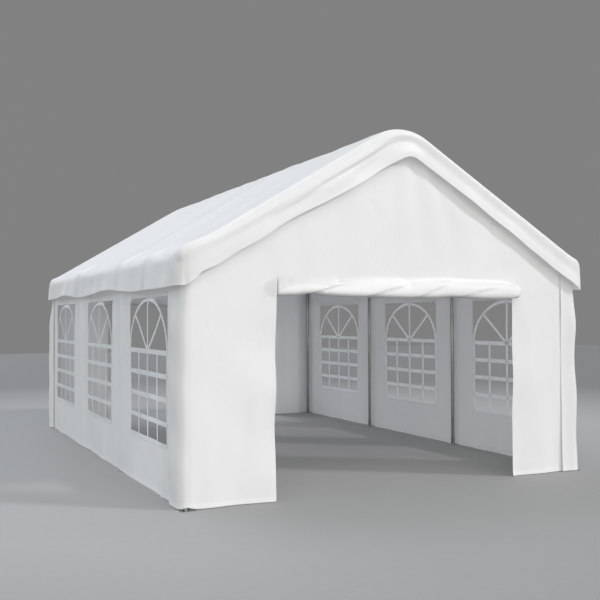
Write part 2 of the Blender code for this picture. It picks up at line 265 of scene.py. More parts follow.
class Nodes:
    """Adds shader nodes to one material and joins them up."""

    def __init__(self, name: str) -> None:
        """Starts an empty material of this name.

        Args:
            name: The material's name.
        """
        self.material = bpy.data.materials.new(name)
        self.material.use_nodes = True
        self.tree = self.material.node_tree
        self.tree.nodes.clear()
        self.output = self.tree.nodes.new("ShaderNodeOutputMaterial")
        self.place = self.add("TexCoord").outputs["Object"]

    def add(self, kind: str, links: dict | None = None, **settings: object) -> bpy.types.Node:
        """Adds a node.

        Args:
            kind: Blender's name of the node, without its ShaderNode prefix.
            links: Socket name or number to the output socket or value that it takes.
            **settings: Properties of the node itself.

        Returns:
            The new node.
        """
        node = self.tree.nodes.new("ShaderNode" + kind)
        for name, value in settings.items():
            setattr(node, name, value)
        for socket, value in (links or {}).items():
            target = node.inputs[socket]
            if isinstance(value, Socket):
                self.tree.links.new(value, target)
            else:
                target.default_value = value
        return node

    def math(self, operation: str, *values: object) -> Socket:
        """Adds a Math node and returns its result."""
        return self.add("Math", dict(enumerate(values)), operation=operation).outputs[0]

    def noise(self, scale: float, detail: float, **more: float) -> Socket:
        """Adds a noise over the tent's own metres and returns its height."""
        links = {"Vector": self.place, "Scale": scale, "Detail": detail, **more}
        return self.add("TexNoise", links).outputs["Fac"]

    def ramp(self, source: Socket, *stops: tuple[float, float | Colour]) -> Socket:
        """Adds a colour ramp.

        Args:
            source: The value that the ramp reads.
            *stops: (place, grey or colour) pairs.

        Returns:
            The ramp's colour.
        """
        node = self.add("ValToRGB", {0: source})
        elements = node.color_ramp.elements
        while len(elements) < len(stops):
            elements.new(0.5)
        for element, (place, colour) in zip(elements, stops):
            element.position = place
            element.color = (colour, colour, colour, 1) if isinstance(colour, float) else (*colour, 1)
        return node.outputs[0]

    def bump(self, height: Socket, distance: float, strength: float = 1.0,
             under: Socket | None = None) -> Socket:
        """Adds a bump of a real depth.

        Args:
            height: What raises the surface, from 0 to 1.
            distance: Depth of the bump in metres.
            strength: Share of the bump that shows.
            under: Normal of the bump below this one.

        Returns:
            The bumped normal.
        """
        links = {"Strength": strength, "Distance": distance, "Height": height}
        if under is not None:
            links["Normal"] = under
        return self.add("Bump", links).outputs[0]

    def surface(self, colour: Socket, roughness: float | Socket, links: dict) -> Socket:
        """Adds a Principled shader with these inputs and returns it."""
        links = {"Base Color": colour, "Roughness": roughness, **links}
        return self.add("BsdfPrincipled", links).outputs[0]

    def shone_through(self, share: float, front: Socket, links: dict) -> Socket:
        """Mixes a share of light from behind, with these inputs, into a shader."""
        behind = self.add("BsdfTranslucent", links).outputs[0]
        return self.add("MixShader", {0: share, 1: front, 2: behind}).outputs[0]


@dataclass(frozen=True)
class Finish:
    """What a piece is made of: its material's name, and a slot's name that nothing here uses."""

    name: str
    slot: str

    def shader(self, desk: Nodes) -> Socket:
        """Adds the finish's nodes.

        Args:
            desk: The material's nodes.

        Returns:
            The finished shader.
        """
        raise NotImplementedError

    def build(self) -> Material:
        """Makes the material.

        Returns:
            The new material.
        """
        desk = Nodes(self.name)
        desk.tree.links.new(self.shader(desk), desk.output.inputs[0])
        return desk.material


@cache
def material_of(finish: Finish) -> Material:
    """The finish's material, made the first time it is asked for."""
    return finish.build()


WAVES_PER_METRE = 0.314


@dataclass(frozen=True)
class WovenSheet(Finish):
    """White laminated woven sheet: fine ribbons under a soft sheen, a little light shining through.

    shade_place and shade_size are the middle and the half axes of a patch of painted shade: the sheet is
    painted a little darker where something lies behind it and keeps the light from shining through.
    """

    name: str = "woven_sheet"
    slot: str = "white_fabric"
    colour: Colour = (0.82, 0.82, 0.82)
    through: Colour = (0.78, 0.80, 0.83)
    shine_through: float = 0.14
    roughness: float = 0.42
    specular: float = 0.42
    ribbon: float = 0.0022
    ribbon_depth: float = 0.00008
    wave_depth: float = 0.0077
    crease_depth: float = 0.001225
    # how dark the painted shade in the slow waves' hollows is
    hollow_shade: float = 0.975
    shade_place: Place | None = None
    shade_size: Place = (0.125, 1.0e6, 0.083)

    def shader(self, desk: Nodes) -> Socket:
        """Lays ribbons, creases and slow waves over the sheet, the ribbons along its own metres, and paints a
        little shade in the waves' hollows.

        Args:
            desk: The material's nodes.

        Returns:
            The finished shader.
        """
        along = desk.add("UVMap").outputs["UV"]
        links = {"Vector": along, "Scale": WAVES_PER_METRE / self.ribbon, "Distortion": 0.4, "Detail": 1.0}
        ribbons = [desk.add("TexWave", links, bands_direction=way).outputs["Fac"] for way in "XY"]
        waves = desk.noise(2.3, 3.0, Roughness=0.5, Distortion=0.6)
        creases = desk.noise(9.0, 4.0, Roughness=0.45, Distortion=1.1)
        normal = desk.bump(waves, self.wave_depth)
        normal = desk.bump(creases, self.crease_depth, under=normal)
        normal = desk.bump(desk.math("ADD", *ribbons), self.ribbon_depth, 0.35, under=normal)
        # painted shade: a little darker where the slow waves dip, in their hollows
        shade = desk.ramp(waves, (0.3, tuple(self.hollow_shade * c for c in self.colour)), (0.7, self.colour))
        # painted shade where something lies behind the sheet
        if self.shade_place:
            shade = self.painted_shade(desk, shade)
        dull = desk.ramp(creases, (0.3, self.roughness - 0.05), (0.7, self.roughness + 0.07))
        front = desk.surface(shade, dull, {"Normal": normal, "Specular IOR Level": self.specular})
        return desk.shone_through(self.shine_through, front, {"Color": (*self.through, 1), "Normal": normal})

    def painted_shade(self, desk: Nodes, shade: Socket) -> Socket:
        """Paints shade on the sheet: darkens it a little where something lies behind it and blocks the light.

        Args:
            desk: The material's nodes.
            shade: The sheet's colour.

        Returns:
            The colour with the painted shade.
        """
        offset = desk.add("VectorMath", {0: desk.place, 1: self.shade_place}, operation="SUBTRACT")
        scaled = desk.add("VectorMath", {0: offset.outputs[0], 1: self.shade_size}, operation="DIVIDE")
        away = desk.add("VectorMath", {0: scaled.outputs[0]}, operation="LENGTH")
        # painted shade: a little darker inside the ellipse round shade_place, on the panel's side of its edge
        # only
        tone = desk.ramp(away.outputs["Value"], (0.55, 0.86), (0.90, 0.89), (0.98, 1.0))
        across = desk.add("SeparateXYZ", {0: desk.place}).outputs["X"]
        panel = desk.math("LESS_THAN", across, self.shade_place[0] + 0.002)
        links = {"Fac": panel, "Color1": shade, "Color2": tone}
        return desk.add("MixRGB", links, blend_type="MULTIPLY").outputs[0]


@dataclass(frozen=True)
class ClearFilm(Finish):
    """Clear flexible film with a faint grey haze and slow waves that catch the light."""

    name: str = "clear_window_film"
    slot: str = "clear_film"
    alpha: float = 0.07
    wave_depth: float = 0.004

    def shader(self, desk: Nodes) -> Socket:
        """Puts a thin wavy haze over what lies behind.

        Args:
            desk: The material's nodes.

        Returns:
            The finished shader.
        """
        waves = desk.noise(6.0, 2.0, Distortion=0.8)
        haze = desk.ramp(waves, (0.35, (0.30, 0.33, 0.34)), (0.65, (0.38, 0.40, 0.41)))
        normal = desk.bump(waves, self.wave_depth)
        return desk.surface(haze, 0.12, {"Alpha": self.alpha, "Specular IOR Level": 0.6, "Normal": normal})


@dataclass(frozen=True)
class PrintedBar(Finish):
    """White ink printed on the film as window bars."""

    name: str = "window_bar_print"
    slot: str = "white_fabric"
    shine_through: float = 0.5

    def shader(self, desk: Nodes) -> Socket:
        """Grains the ink finely and lets light through it.

        Args:
            desk: The material's nodes.

        Returns:
            The finished shader.
        """
        grain = desk.noise(240.0, 2.0)
        shade = desk.ramp(grain, (0.3, (0.90, 0.91, 0.92)), (0.7, (0.93, 0.94, 0.95)))
        ink = desk.surface(shade, 0.4, {"Normal": desk.bump(grain, 0.0002, 0.5)})
        return desk.shone_through(self.shine_through, ink, {"Color": (0.93, 0.94, 0.95, 1)})


@dataclass(frozen=True)
class Webbing(Finish):
    """White polyester webbing and zip tape, ribbed across."""

    name: str = "white_webbing"
    slot: str = "white_fabric"
    rib: float = 0.0016
    rib_depth: float = 0.0003

    def shader(self, desk: Nodes) -> Socket:
        """Ribs the tape and gives it a soft fuzz.

        Args:
            desk: The material's nodes.

        Returns:
            The finished shader.
        """
        links = {"Vector": desk.place, "Scale": WAVES_PER_METRE / self.rib, "Distortion": 0.5}
        ribs = desk.add("TexWave", links, bands_direction="Z").outputs["Fac"]
        shade = desk.ramp(desk.noise(300.0, 3.0), (0.25, (0.76, 0.77, 0.78)), (0.75, (0.84, 0.84, 0.85)))
        return desk.surface(shade, 0.7, {"Normal": desk.bump(ribs, self.rib_depth, 0.7), "Sheen Weight": 0.2})


@dataclass(frozen=True)
class CoatedSteel(Finish):
    """Steel tube with a thin grey coating, slightly uneven."""

    name: str = "coated_steel_tube"
    slot: str = "coated_steel"
    colour: Colour = (0.37, 0.38, 0.37)
    roughness: float = 0.16
    patchiness: float = 0.86

    def shader(self, desk: Nodes) -> Socket:
        """Lays a fine orange peel and broad duller patches over the steel.

        Args:
            desk: The material's nodes.

        Returns:
            The finished shader.
        """
        patches = desk.noise(5.0, 4.0)
        dark = tuple(self.patchiness * c for c in self.colour)
        shade = desk.ramp(patches, (0.35, dark), (0.65, self.colour))
        dull = desk.ramp(patches, (0.3, self.roughness + 0.08), (0.7, self.roughness - 0.04))
        normal = desk.bump(desk.noise(160.0, 2.0), 0.0003, 0.5)
        return desk.surface(shade, dull, {"Metallic": 1.0, "Normal": normal})


@dataclass(frozen=True)
class StudioFloor(Finish):
    """Plain pale floor paint that fades into the background far from the tent.

    fade is how far from the tent's middle the fading starts and ends.
    """

    name: str = "studio_floor"
    slot: str = ""
    colour: Colour = (0.31, 0.31, 0.305)
    far_colour: Colour = (0.152, 0.152, 0.150)
    fade: tuple[float, float] = (4.8, 10.5)

    def shader(self, desk: Nodes) -> Socket:
        """Speckles the paint faintly and fades it with distance.

        Args:
            desk: The material's nodes.

        Returns:
            The finished shader.
        """
        uneven = desk.ramp(desk.noise(14.0, 5.0), (0.3, 0.97), (0.7, 1.0))
        away = desk.add("VectorMath", {0: desk.place}, operation="LENGTH").outputs["Value"]
        share = desk.math("DIVIDE", away, self.fade[1])
        plain = desk.ramp(share, (self.fade[0] / self.fade[1], self.colour), (1.0, self.far_colour))
        links = {"Fac": 1.0, "Color1": plain, "Color2": uneven}
        return desk.surface(desk.add("MixRGB", links, blend_type="MULTIPLY").outputs[0], 0.75, {})


def linked(name: str, data: bpy.types.ID) -> Object:
    """Makes an object with this data and links it into the scene.

    Args:
        name: The object's name.
        data: Its mesh, lamp or camera.

    Returns:
        The new object.
    """
    obj = bpy.data.objects.new(name, data)
    bpy.context.scene.collection.objects.link(obj)
    return obj


def stacked(*parts: Points) -> Points:
    """Puts coordinates together as points, along a last axis."""
    return np.stack(parts, axis=-1)


def run_of(path: Points) -> Points:
    """How far along a path each of its points lies."""
    return np.concatenate([[0], np.cumsum(np.linalg.norm(np.diff(path, axis=0), axis=1))])


SHARP_EDGE = 40.0


@dataclass
class Mesh:
    """Vertices, faces and sheet coordinates that become one object."""

    points: list[Place] = field(default_factory=list)
    faces: list[tuple[int, ...]] = field(default_factory=list)
    uvs: list[tuple[float, float]] = field(default_factory=list)

    def add_grid(self, grid: Points, uv: Points, keep: Points | None = None, loop: bool = False) -> None:
        """Adds a sheet of cells.

        Args:
            grid: Points in rows and columns, of shape (rows, columns, 3).
            uv: Sheet coordinates in metres, of shape (rows, columns, 2).
            keep: Which cells exist, of shape (rows - 1, columns - 1), or None for all.
            loop: Whether the last column joins the first.
        """
        rows, columns = grid.shape[:2]
        start = len(self.points)
        self.points += [tuple(p) for p in grid.reshape(-1, 3)]
        self.uvs += [tuple(p) for p in uv.reshape(-1, 2)]
        for i in range(rows - 1):
            for j in range(columns if loop else columns - 1):
                if keep is not None and not keep[i, j]:
                    continue
                k = (j + 1) % columns
                a, b = start + i * columns, start + (i + 1) * columns
                self.faces.append((a + j, a + k, b + k, b + j))

    def add_tube(self, ring: Points, uv: Points, closed: bool = False) -> None:
        """Adds a four-sided tube and shuts its ends.

        Args:
            ring: Its four corners at each place, of shape (n, 4, 3).
            uv: Their sheet coordinates in metres, of shape (n, 4, 2).
            closed: Whether the last place is the first one again, so that there are no ends.
        """
        start = len(self.points)
        self.add_grid(ring, uv, loop=True)
        if not closed:
            end = len(self.points) - 4
            self.faces += [(start + 3, start + 2, start + 1, start), (end, end + 1, end + 2, end + 3)]

    def add_band(self, path: Points, width: float, thickness: float, closed: bool = False) -> None:
        """Adds a flat strip that follows a path, its width along x.

        Args:
            path: The strip's centre line, of shape (n, 3).
            width: The strip's width.
            thickness: The strip's thickness.
            closed: Whether the path joins its own start.
        """
        across = np.array([1.0, 0.0, 0.0])
        along = np.roll(path, -1, 0) - np.roll(path, 1, 0)
        if not closed:
            along[0], along[-1] = path[1] - path[0], path[-1] - path[-2]
        normal = np.cross(along, across)
        normal /= np.linalg.norm(normal, axis=1, keepdims=True)
        corners = ((-1, -1), (1, -1), (1, 1), (-1, 1))
        sides = [path + across * (a * width / 2) + normal * (b * thickness / 2) for a, b in corners]
        ring = np.stack(sides, axis=1)
        run = run_of(path)
        uv = np.zeros((len(path), 4, 2))
        uv[:, :, 1] = run[:, None]
        uv[:, 1:3, 0] = width
        if closed:
            ring = np.concatenate([ring, ring[:1]])
            uv = np.concatenate([uv, uv[:1] + [[0, float(run[-1])]]])
        self.add_tube(ring, uv, closed)

    def build(self, name: str, smooth_angle: float = 180.0) -> Object:
        """Makes the object.

        Args:
            name: The object's name.
            smooth_angle: Edges that turn more than this many degrees stay sharp.

        Returns:
            The new object, linked into the scene.
        """
        mesh = bpy.data.meshes.new(name)
        used = sorted({v for face in self.faces for v in face})
        index = {v: i for i, v in enumerate(used)}
        faces = [tuple(index[v] for v in face) for face in self.faces]
        mesh.from_pydata([self.points[v] for v in used], [], faces)
        layer = mesh.uv_layers.new(name="sheet")
        corners = np.array([self.uvs[v] for face in self.faces for v in face], float)
        layer.data.foreach_set("uv", corners.ravel())
        mesh.shade_smooth()
        if smooth_angle < 180:
            mesh.set_sharp_from_angle(angle=math.radians(smooth_angle))
        if any(len(set(face)) < len(face) for face in faces):
            raise ValueError(f"{name} has a folded face")
        return linked(name, mesh)


def place(obj: Object, finish: Finish, *nodes: str) -> Object:
    """Gives a piece its finish and its place in the tent.

    Args:
        obj: The new piece.
        finish: What it is made of.
        *nodes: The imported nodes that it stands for.

    Returns:
        The same piece.
    """
    obj.data.materials.append(material_of(finish))
    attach(obj, "root")
    if nodes:
        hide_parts(*nodes)
    return obj


def read(items: bpy.types.bpy_prop_collection, attribute: str, width: int, kind: type = float) -> Points:
    """Reads an attribute of each vertex or corner, as rows of this width.

    Args:
        items: The mesh's vertices or corners.
        attribute: What is read of each.
        width: How many numbers it has.
        kind: The numbers' type.

    Returns:
        A row of numbers for each.
    """
    values = np.empty(len(items) * width, kind)
    items.foreach_get(attribute, values)
    return values.reshape(-1, width)


RAKE_STEPS = (-0.12, -0.08, -0.04, 0.0, 0.03, 0.06, 0.09, 0.12, 0.15, 0.18, 0.22, 0.26)


@dataclass(frozen=True)
class RakeFold:
    """How the cover bends over a gable's rake at one place across the tent.

    outs and drops say how far the sheet lies out from the gable and below the roof, at each of
    RAKE_STEPS along the sheet from the rake's nominal fold.
    """

    across: float
    outs: tuple[float, ...]
    drops: tuple[float, ...]


@dataclass
class RoofCover:
    """The roof sheet with its hanging valances, as one sewn piece.

    side_edge and gable_edge say how far the valances' lower edges lie above their straight lines,
    and side_folds are the folds over the eaves: place along, height and width.
    """

    tent: Tent
    finish: WovenSheet = WovenSheet(colour=(0.88, 0.88, 0.88), through=(0.93, 0.93, 0.92), shine_through=0.28)
    cell: float = 0.105
    levels: int = 2
    sag: float = 0.010
    wrinkle: float = 0.0045
    round_corner_radius: float = 0.14
    sharp_corner_radius: float = 0.03
    arc_steps: int = 3
    back_share: float = 0.55
    taut_pull: float = 0.010
    taut_lift: float = 0.018
    edge_rows: tuple[float, ...] = (0.0, 0.04, 0.08, 0.13, 0.20)
    hang: tuple[float, ...] = (0.04, 0.085, 0.13, 0.175, 0.22, 0.26)
    side_edge: Knots = (
        (-3.0, 0.0), (-1.9, -0.009), (-1.45, -0.007), (-1.1, 0.012), (-0.75, 0.034), (-0.42, 0.036),
        (0.0, 0.018), (0.4, 0.004), (0.8, -0.006), (1.05, 0.0), (1.45, 0.030), (1.8, 0.040),
        (2.3, 0.018), (3.0, 0.006),
    )
    side_folds: tuple[tuple[float, float, float], ...] = (
        (-2.93, 0.034, 0.20), (-2.52, -0.022, 0.18), (-2.0, 0.028, 0.10), (-1.58, -0.022, 0.20),
        (-0.97, 0.022, 0.10), (-0.45, -0.012, 0.20), (0.15, -0.014, 0.35), (1.05, 0.030, 0.085),
        (1.45, -0.016, 0.18), (2.2, -0.010, 0.3), (2.85, 0.010, 0.12),
    )
    gable_edge: Knots = (
        (-2.05, -0.002), (-1.95, -0.010), (-1.90, -0.012), (-1.87, 0.008), (-1.84, 0.006), (-1.74, -0.008),
        (-1.55, -0.006), (-1.35, -0.014), (-1.15, -0.006), (-0.7, -0.045), (-0.3, -0.062), (-0.08, -0.040),
        (0.06, 0.012), (0.25, 0.018), (0.5, 0.024), (1.05, 0.022), (1.7, 0.008), (2.05, 0.008),
    )
    rake_folds: tuple[RakeFold, ...] = (
        RakeFold(-1.98,
                 (-0.12, -0.08, -0.042, -0.01, 0.0, 0.001, 0.0, 0.0, 0.001, 0.002, 0.002, 0.001),
                 (0.0, 0.002, 0.006, 0.016, 0.038, 0.067, 0.096, 0.125, 0.154, 0.183, 0.222, 0.26)),
        RakeFold(-1.37,
                 (-0.12, -0.079, -0.046, -0.02, -0.006, 0.001, -0.002, -0.003, 0.0, 0.003, 0.004, 0.003),
                 (0.0, 0.006, 0.02, 0.04, 0.06, 0.084, 0.11, 0.136, 0.163, 0.191, 0.226, 0.262)),
        RakeFold(-1.01,
                 (-0.12, -0.079, -0.046, -0.02, -0.008, 0.0, 0.004, 0.002, -0.005, -0.003, 0.003, 0.004),
                 (0.0, 0.006, 0.02, 0.041, 0.062, 0.085, 0.109, 0.137, 0.162, 0.188, 0.226, 0.262)),
        RakeFold(-0.64,
                 (-0.12, -0.079, -0.046, -0.021, -0.008, 0.001, 0.004, -0.007, 0.004, 0.008, 0.006, 0.007),
                 (0.0, 0.006, 0.02, 0.042, 0.063, 0.085, 0.108, 0.131, 0.152, 0.184, 0.224, 0.262)),
        RakeFold(-0.34,
                 (-0.12, -0.08, -0.045, -0.02, -0.008, 0.0, 0.006, -0.008, -0.007, -0.008, 0.0, 0.01),
                 (0.0, 0.005, 0.017, 0.036, 0.057, 0.08, 0.104, 0.128, 0.152, 0.184, 0.221, 0.259)),
        RakeFold(-0.04,
                 (-0.12, -0.08, -0.043, -0.017, -0.006, 0.003, -0.004, -0.01, -0.002, 0.007, 0.015, 0.015),
                 (0.0, 0.002, 0.009, 0.024, 0.044, 0.066, 0.094, 0.121, 0.146, 0.173, 0.214, 0.258)),
        RakeFold(0.28,
                 (-0.12, -0.08, -0.04, -0.006, 0.003, 0.002, -0.001, -0.003, -0.002, 0.001, 0.004, 0.006),
                 (0.0, 0.0, 0.0, 0.005, 0.029, 0.06, 0.09, 0.12, 0.15, 0.18, 0.22, 0.26)),
        RakeFold(1.98,
                 (-0.12, -0.08, -0.04, -0.005, 0.003, 0.003, 0.0, -0.002, -0.001, 0.003, 0.006, 0.008),
                 (0.0, -0.002, -0.006, -0.004, 0.027, 0.058, 0.089, 0.12, 0.15, 0.18, 0.22, 0.26)),
    )

    def half_profile(self) -> list[tuple[float, float]]:
        """The cover's section over its right half.

        Returns:
            (x, z) points from the ridge to the end of the eave's rounding.
        """
        t = self.tent
        ridge = [(t.ridge_rounding * math.sin(a), t.ridge_top - t.ridge_rounding * (1 - math.cos(a)))
                 for a in spaced(0, t.pitch, t.pitch / self.arc_steps)]
        turn = math.pi / 2 - t.pitch
        centre, foot = t.eave_x - t.eave_rounding, t.eave_height - t.eave_drop
        top = centre + t.eave_rounding * math.cos(turn)
        straight = spaced(ridge[-1][0], top, self.cell * math.cos(t.pitch))[1:]
        eave = [(centre + t.eave_rounding * math.cos(a), foot + t.eave_rounding * math.sin(a))
                for a in spaced(turn, 0, -turn / self.arc_steps)[1:]]
        return ridge + [(x, float(t.slope_z(x))) for x in straight] + eave

    def control_lid(self) -> Object:
        """Makes the coarse sheet that is smoothed and then shaped.

        Returns:
            The sheet, with its hanging flaps all round.
        """
        t = self.tent
        half = self.half_profile()
        profile = [(-x, z) for x, z in reversed(half[1:])] + half
        edge = self.edge_rows
        middle = spaced(edge[-1] - t.rake_y, t.rake_y - edge[-1], self.cell)
        ys = [-t.rake_y + e for e in edge[:-1]] + middle + [t.rake_y - e for e in reversed(edge[:-1])]
        mesh = bmesh.new()
        top = [[mesh.verts.new((x, y, z)) for y in ys] for x, z in profile]
        last, far = len(profile) - 1, len(ys) - 1
        for i in range(last):
            for j in range(far):
                mesh.faces.new((top[i][j], top[i + 1][j], top[i + 1][j + 1], top[i][j + 1]))
        loop = [(i, 0) for i in range(last)] + [(last, j) for j in range(far)]
        loop += [(i, far) for i in range(last, 0, -1)] + [(0, j) for j in range(far, 0, -1)]
        columns = []
        for i, j in loop:
            x, z = profile[i]
            slope = z if abs(x) < t.eave_x / 2 else float(t.slope_z(x))
            drop = z - (slope - t.valance)
            column = [top[i][j]]
            round_x, round_y = self.round_corner(x, ys[j])
            for share in (h / t.valance for h in self.hang):
                out = t.valance_flare * share if i in (0, last) else 0.0
                column.append(mesh.verts.new((round_x + math.copysign(out, x), round_y, z - drop * share)))
            columns.append(column)
            top[i][j].co.x, top[i][j].co.y = round_x, round_y
        for column, following in zip(columns, columns[1:] + columns[:1]):
            for a in range(len(self.hang)):
                mesh.faces.new((column[a], column[a + 1], following[a + 1], following[a]))
        bmesh.ops.recalc_face_normals(mesh, faces=mesh.faces)
        data = bpy.data.meshes.new("roof_cover_sheet")
        mesh.to_mesh(data)
        mesh.free()
        return linked("roof_cover_sheet", data)

    def round_corner(self, x: float, y: float) -> tuple[float, float]:
        """Moves a point of the cover's square edge onto the arc of its nearest corner.

        The front left corner and the one across from it are round, the other two nearly sharp.

        Args:
            x: Place across the tent.
            y: Place along the tent.

        Returns:
            The moved x and y.
        """
        t = self.tent
        radius = self.round_corner_radius if x * y > 0 else self.sharp_corner_radius
        from_side, from_rake = t.eave_x - abs(x), t.rake_y - abs(y)
        along = max(from_side, from_rake)
        if min(from_side, from_rake) > 1e-6 or along >= radius:
            return x, y
        angle = math.pi / 4 * (1 - along / radius)
        across, along = radius * (1 - math.cos(angle)), radius * (1 - math.sin(angle))
        if from_side > from_rake:
            across, along = along, across
        return math.copysign(t.eave_x - across, x), math.copysign(t.rake_y - along, y)

    def roof_below(self, p: Points) -> Points:
        """How far below the roof's surface each point lies."""
        eave = self.tent.eave_x
        return self.tent.roof_z(np.clip(p[:, 0], -eave, eave)) - p[:, 2]

    def insets(self, p: Points) -> tuple[Points, Points]:
        """How far inside the eaves and inside the rakes each point lies."""
        return self.tent.eave_x - np.abs(p[:, 0]), self.tent.rake_y - np.abs(p[:, 1])

    def shape(self, p: Points, n: Points) -> Points:
        """Where the folds, sags and edges move each point.

        Args:
            p: Points of the smooth cover.
            n: Their unit normals, pointing out.

        Returns:
            The moved points.
        """
        t = self.tent
        x, y = p[:, 0], p[:, 1]
        in_eave, in_rake = self.insets(p)
        top = ease(self.roof_below(p), 0.05, 0.01) * ease(in_eave, 0, 0.12)
        first, second = t.portal_ys()[:2]
        between = np.sin(math.pi * (y - first) / (second - first)) ** 2
        belly = np.sin(math.pi * np.clip(np.abs(x) / t.eave_x, 0, 1)) ** 0.8
        loose = (0.25 + 0.75 * belly) * ease(in_rake, 0.05, 0.30) * top
        soft = Ripples(11, 3.2, 0.46).at(x, y) + 0.35 * Ripples(12, 1.4, 0.24).at(x, y)
        shift = (self.wrinkle * (soft - 0.4) - self.sag * between) * loose
        return p + n * shift[:, None] + self.side_moves(p) + self.rake_moves(p)

    def side_moves(self, p: Points) -> Points:
        """How the valances along the two sides fold and lift.

        Args:
            p: Points of the smooth cover.

        Returns:
            Each point's move.
        """
        t = self.tent
        x, y, z = p.T
        in_eave, in_rake = self.insets(p)
        side = ease(in_eave, 0.09, 0.02) * ease(in_rake, 0, 0.10)
        depth = np.clip((t.eave_height + 0.02 - z) / (t.valance + 0.02), 0, 1)
        mirrored = np.where(x < 0, y, -y)
        lift = spline(mirrored, self.side_edge)
        fold = Ripples(21, 9.0, 0.38).at(x, y) + 0.4 * Ripples(22, 9.0, 0.17).at(x, y)
        puff = (0.007 * fold * depth**1.3 + 0.30 * lift * depth) * side
        lean = mirrored + 0.25 * (0.4 - depth) * t.valance
        ridges = sum(size * hump(lean, place, width) for place, size, width in self.side_folds)
        eave = ease(in_eave, 0.30, 0.06) * ease(in_rake, -0.03, 0.07)
        out = puff + 0.8 * ridges * eave * (1 - 0.35 * ease(depth, 0.5, 1.0))
        up = lift * depth**1.5 * side + 0.5 * np.maximum(ridges, -0.004) * eave * ease(depth, 0.25, 0.0)
        return stacked(np.sign(x) * out, np.zeros_like(out), up)

    def rake_moves(self, p: Points) -> Points:
        """How the cover bends over the rakes, and how the flaps that hang there fold.

        Args:
            p: Points of the smooth cover.

        Returns:
            Each point's move.
        """
        t = self.tent
        x, y, _ = p.T
        in_eave, in_rake = self.insets(p)
        below = np.clip(self.roof_below(p), 0, None)
        gable = ease(in_rake, 0.06, 0.02)
        hanging = below > 0.012
        along = np.clip(np.where(hanging, below, -np.maximum(in_rake, 0)), RAKE_STEPS[0], RAKE_STEPS[-1])
        across = np.where(y < 0, x, -x)
        near = ease(in_rake, 0.14, 0.10) * ease(in_eave, -0.01, 0.05)
        near = near * np.where(hanging, gable, 1) * np.where(y < 0, 1, self.back_share)
        reach = (self.bend("outs", along, across) - np.minimum(along, 0)) * near
        drop = (self.bend("drops", along, across) - np.maximum(along, 0)) * near
        depth = np.clip(below / t.valance, 0, 1) * gable
        wave = 0.005 * Ripples(31, 0.5, 9.0).at(across, y) * depth
        taut = hump(across, t.eave_x, 0.07) * ease(in_rake, 0.16, 0) * ease(below, 0.20, 0.05)
        up = spline(across, self.gable_edge) * depth**1.3 - drop + self.taut_lift * taut
        return stacked(np.sign(x) * self.taut_pull * taut, np.sign(y) * (reach + wave), up)

    def bend(self, kind: str, along: Points, across: Points) -> Points:
        """Reads the rake's folds, easing from each to the next across the tent.

        Args:
            kind: outs or drops.
            along: Places along the sheet from the rake's nominal fold.
            across: Places across the tent.

        Returns:
            Metres, for each place.
        """
        table = [spline(along, tuple(zip(RAKE_STEPS, getattr(fold, kind)))) for fold in self.rake_folds]
        stations = np.array([fold.across for fold in self.rake_folds])
        cell = np.clip(np.searchsorted(stations, across) - 1, 0, len(stations) - 2)
        share = ease((across - stations[cell]) / (stations[cell + 1] - stations[cell]), 0, 1)
        rows = np.arange(len(along))
        return np.array(table)[cell, rows] * (1 - share) + np.array(table)[cell + 1, rows] * share

    def build(self) -> list[Object]:
        """Makes the cover.

        Returns:
            The cover, as the only piece.
        """
        obj = self.control_lid()
        smoother = obj.modifiers.new("smooth", "SUBSURF")
        smoother.levels = smoother.render_levels = self.levels
        bpy.context.view_layer.update()
        graph = bpy.context.evaluated_depsgraph_get()
        mesh = bpy.data.meshes.new_from_object(obj.evaluated_get(graph))
        obj.modifiers.clear()
        obj.data = mesh
        points, normals = read(mesh.vertices, "co", 3), read(mesh.vertices, "normal", 3)
        flat = self.flat_places(points)
        mesh.vertices.foreach_set("co", self.shape(points, normals).ravel())
        corners = read(mesh.loops, "vertex_index", 1, int)[:, 0]
        mesh.uv_layers.new(name="sheet").data.foreach_set("uv", flat[corners].ravel())
        mesh.shade_smooth()
        mesh.update()
        place(obj, self.finish, "roof_cover")
        return [obj]

    def flat_places(self, p: Points) -> Points:
        """Where each point lies on the flat cut.

        Args:
            p: Points of the smooth cover.

        Returns:
            Metres across and along, from the middle of the cut.
        """
        t = self.tent
        x, y = np.abs(p[:, 0]), np.abs(p[:, 1])
        below = np.clip(self.roof_below(p), 0, t.valance)
        u = x / math.cos(t.pitch) + np.where(x > t.eave_x - 0.004, below, 0)
        v = y + np.where(y > t.rake_y - 0.004, below, 0)
        return np.sign(p[:, :2]) * stacked(u, v)


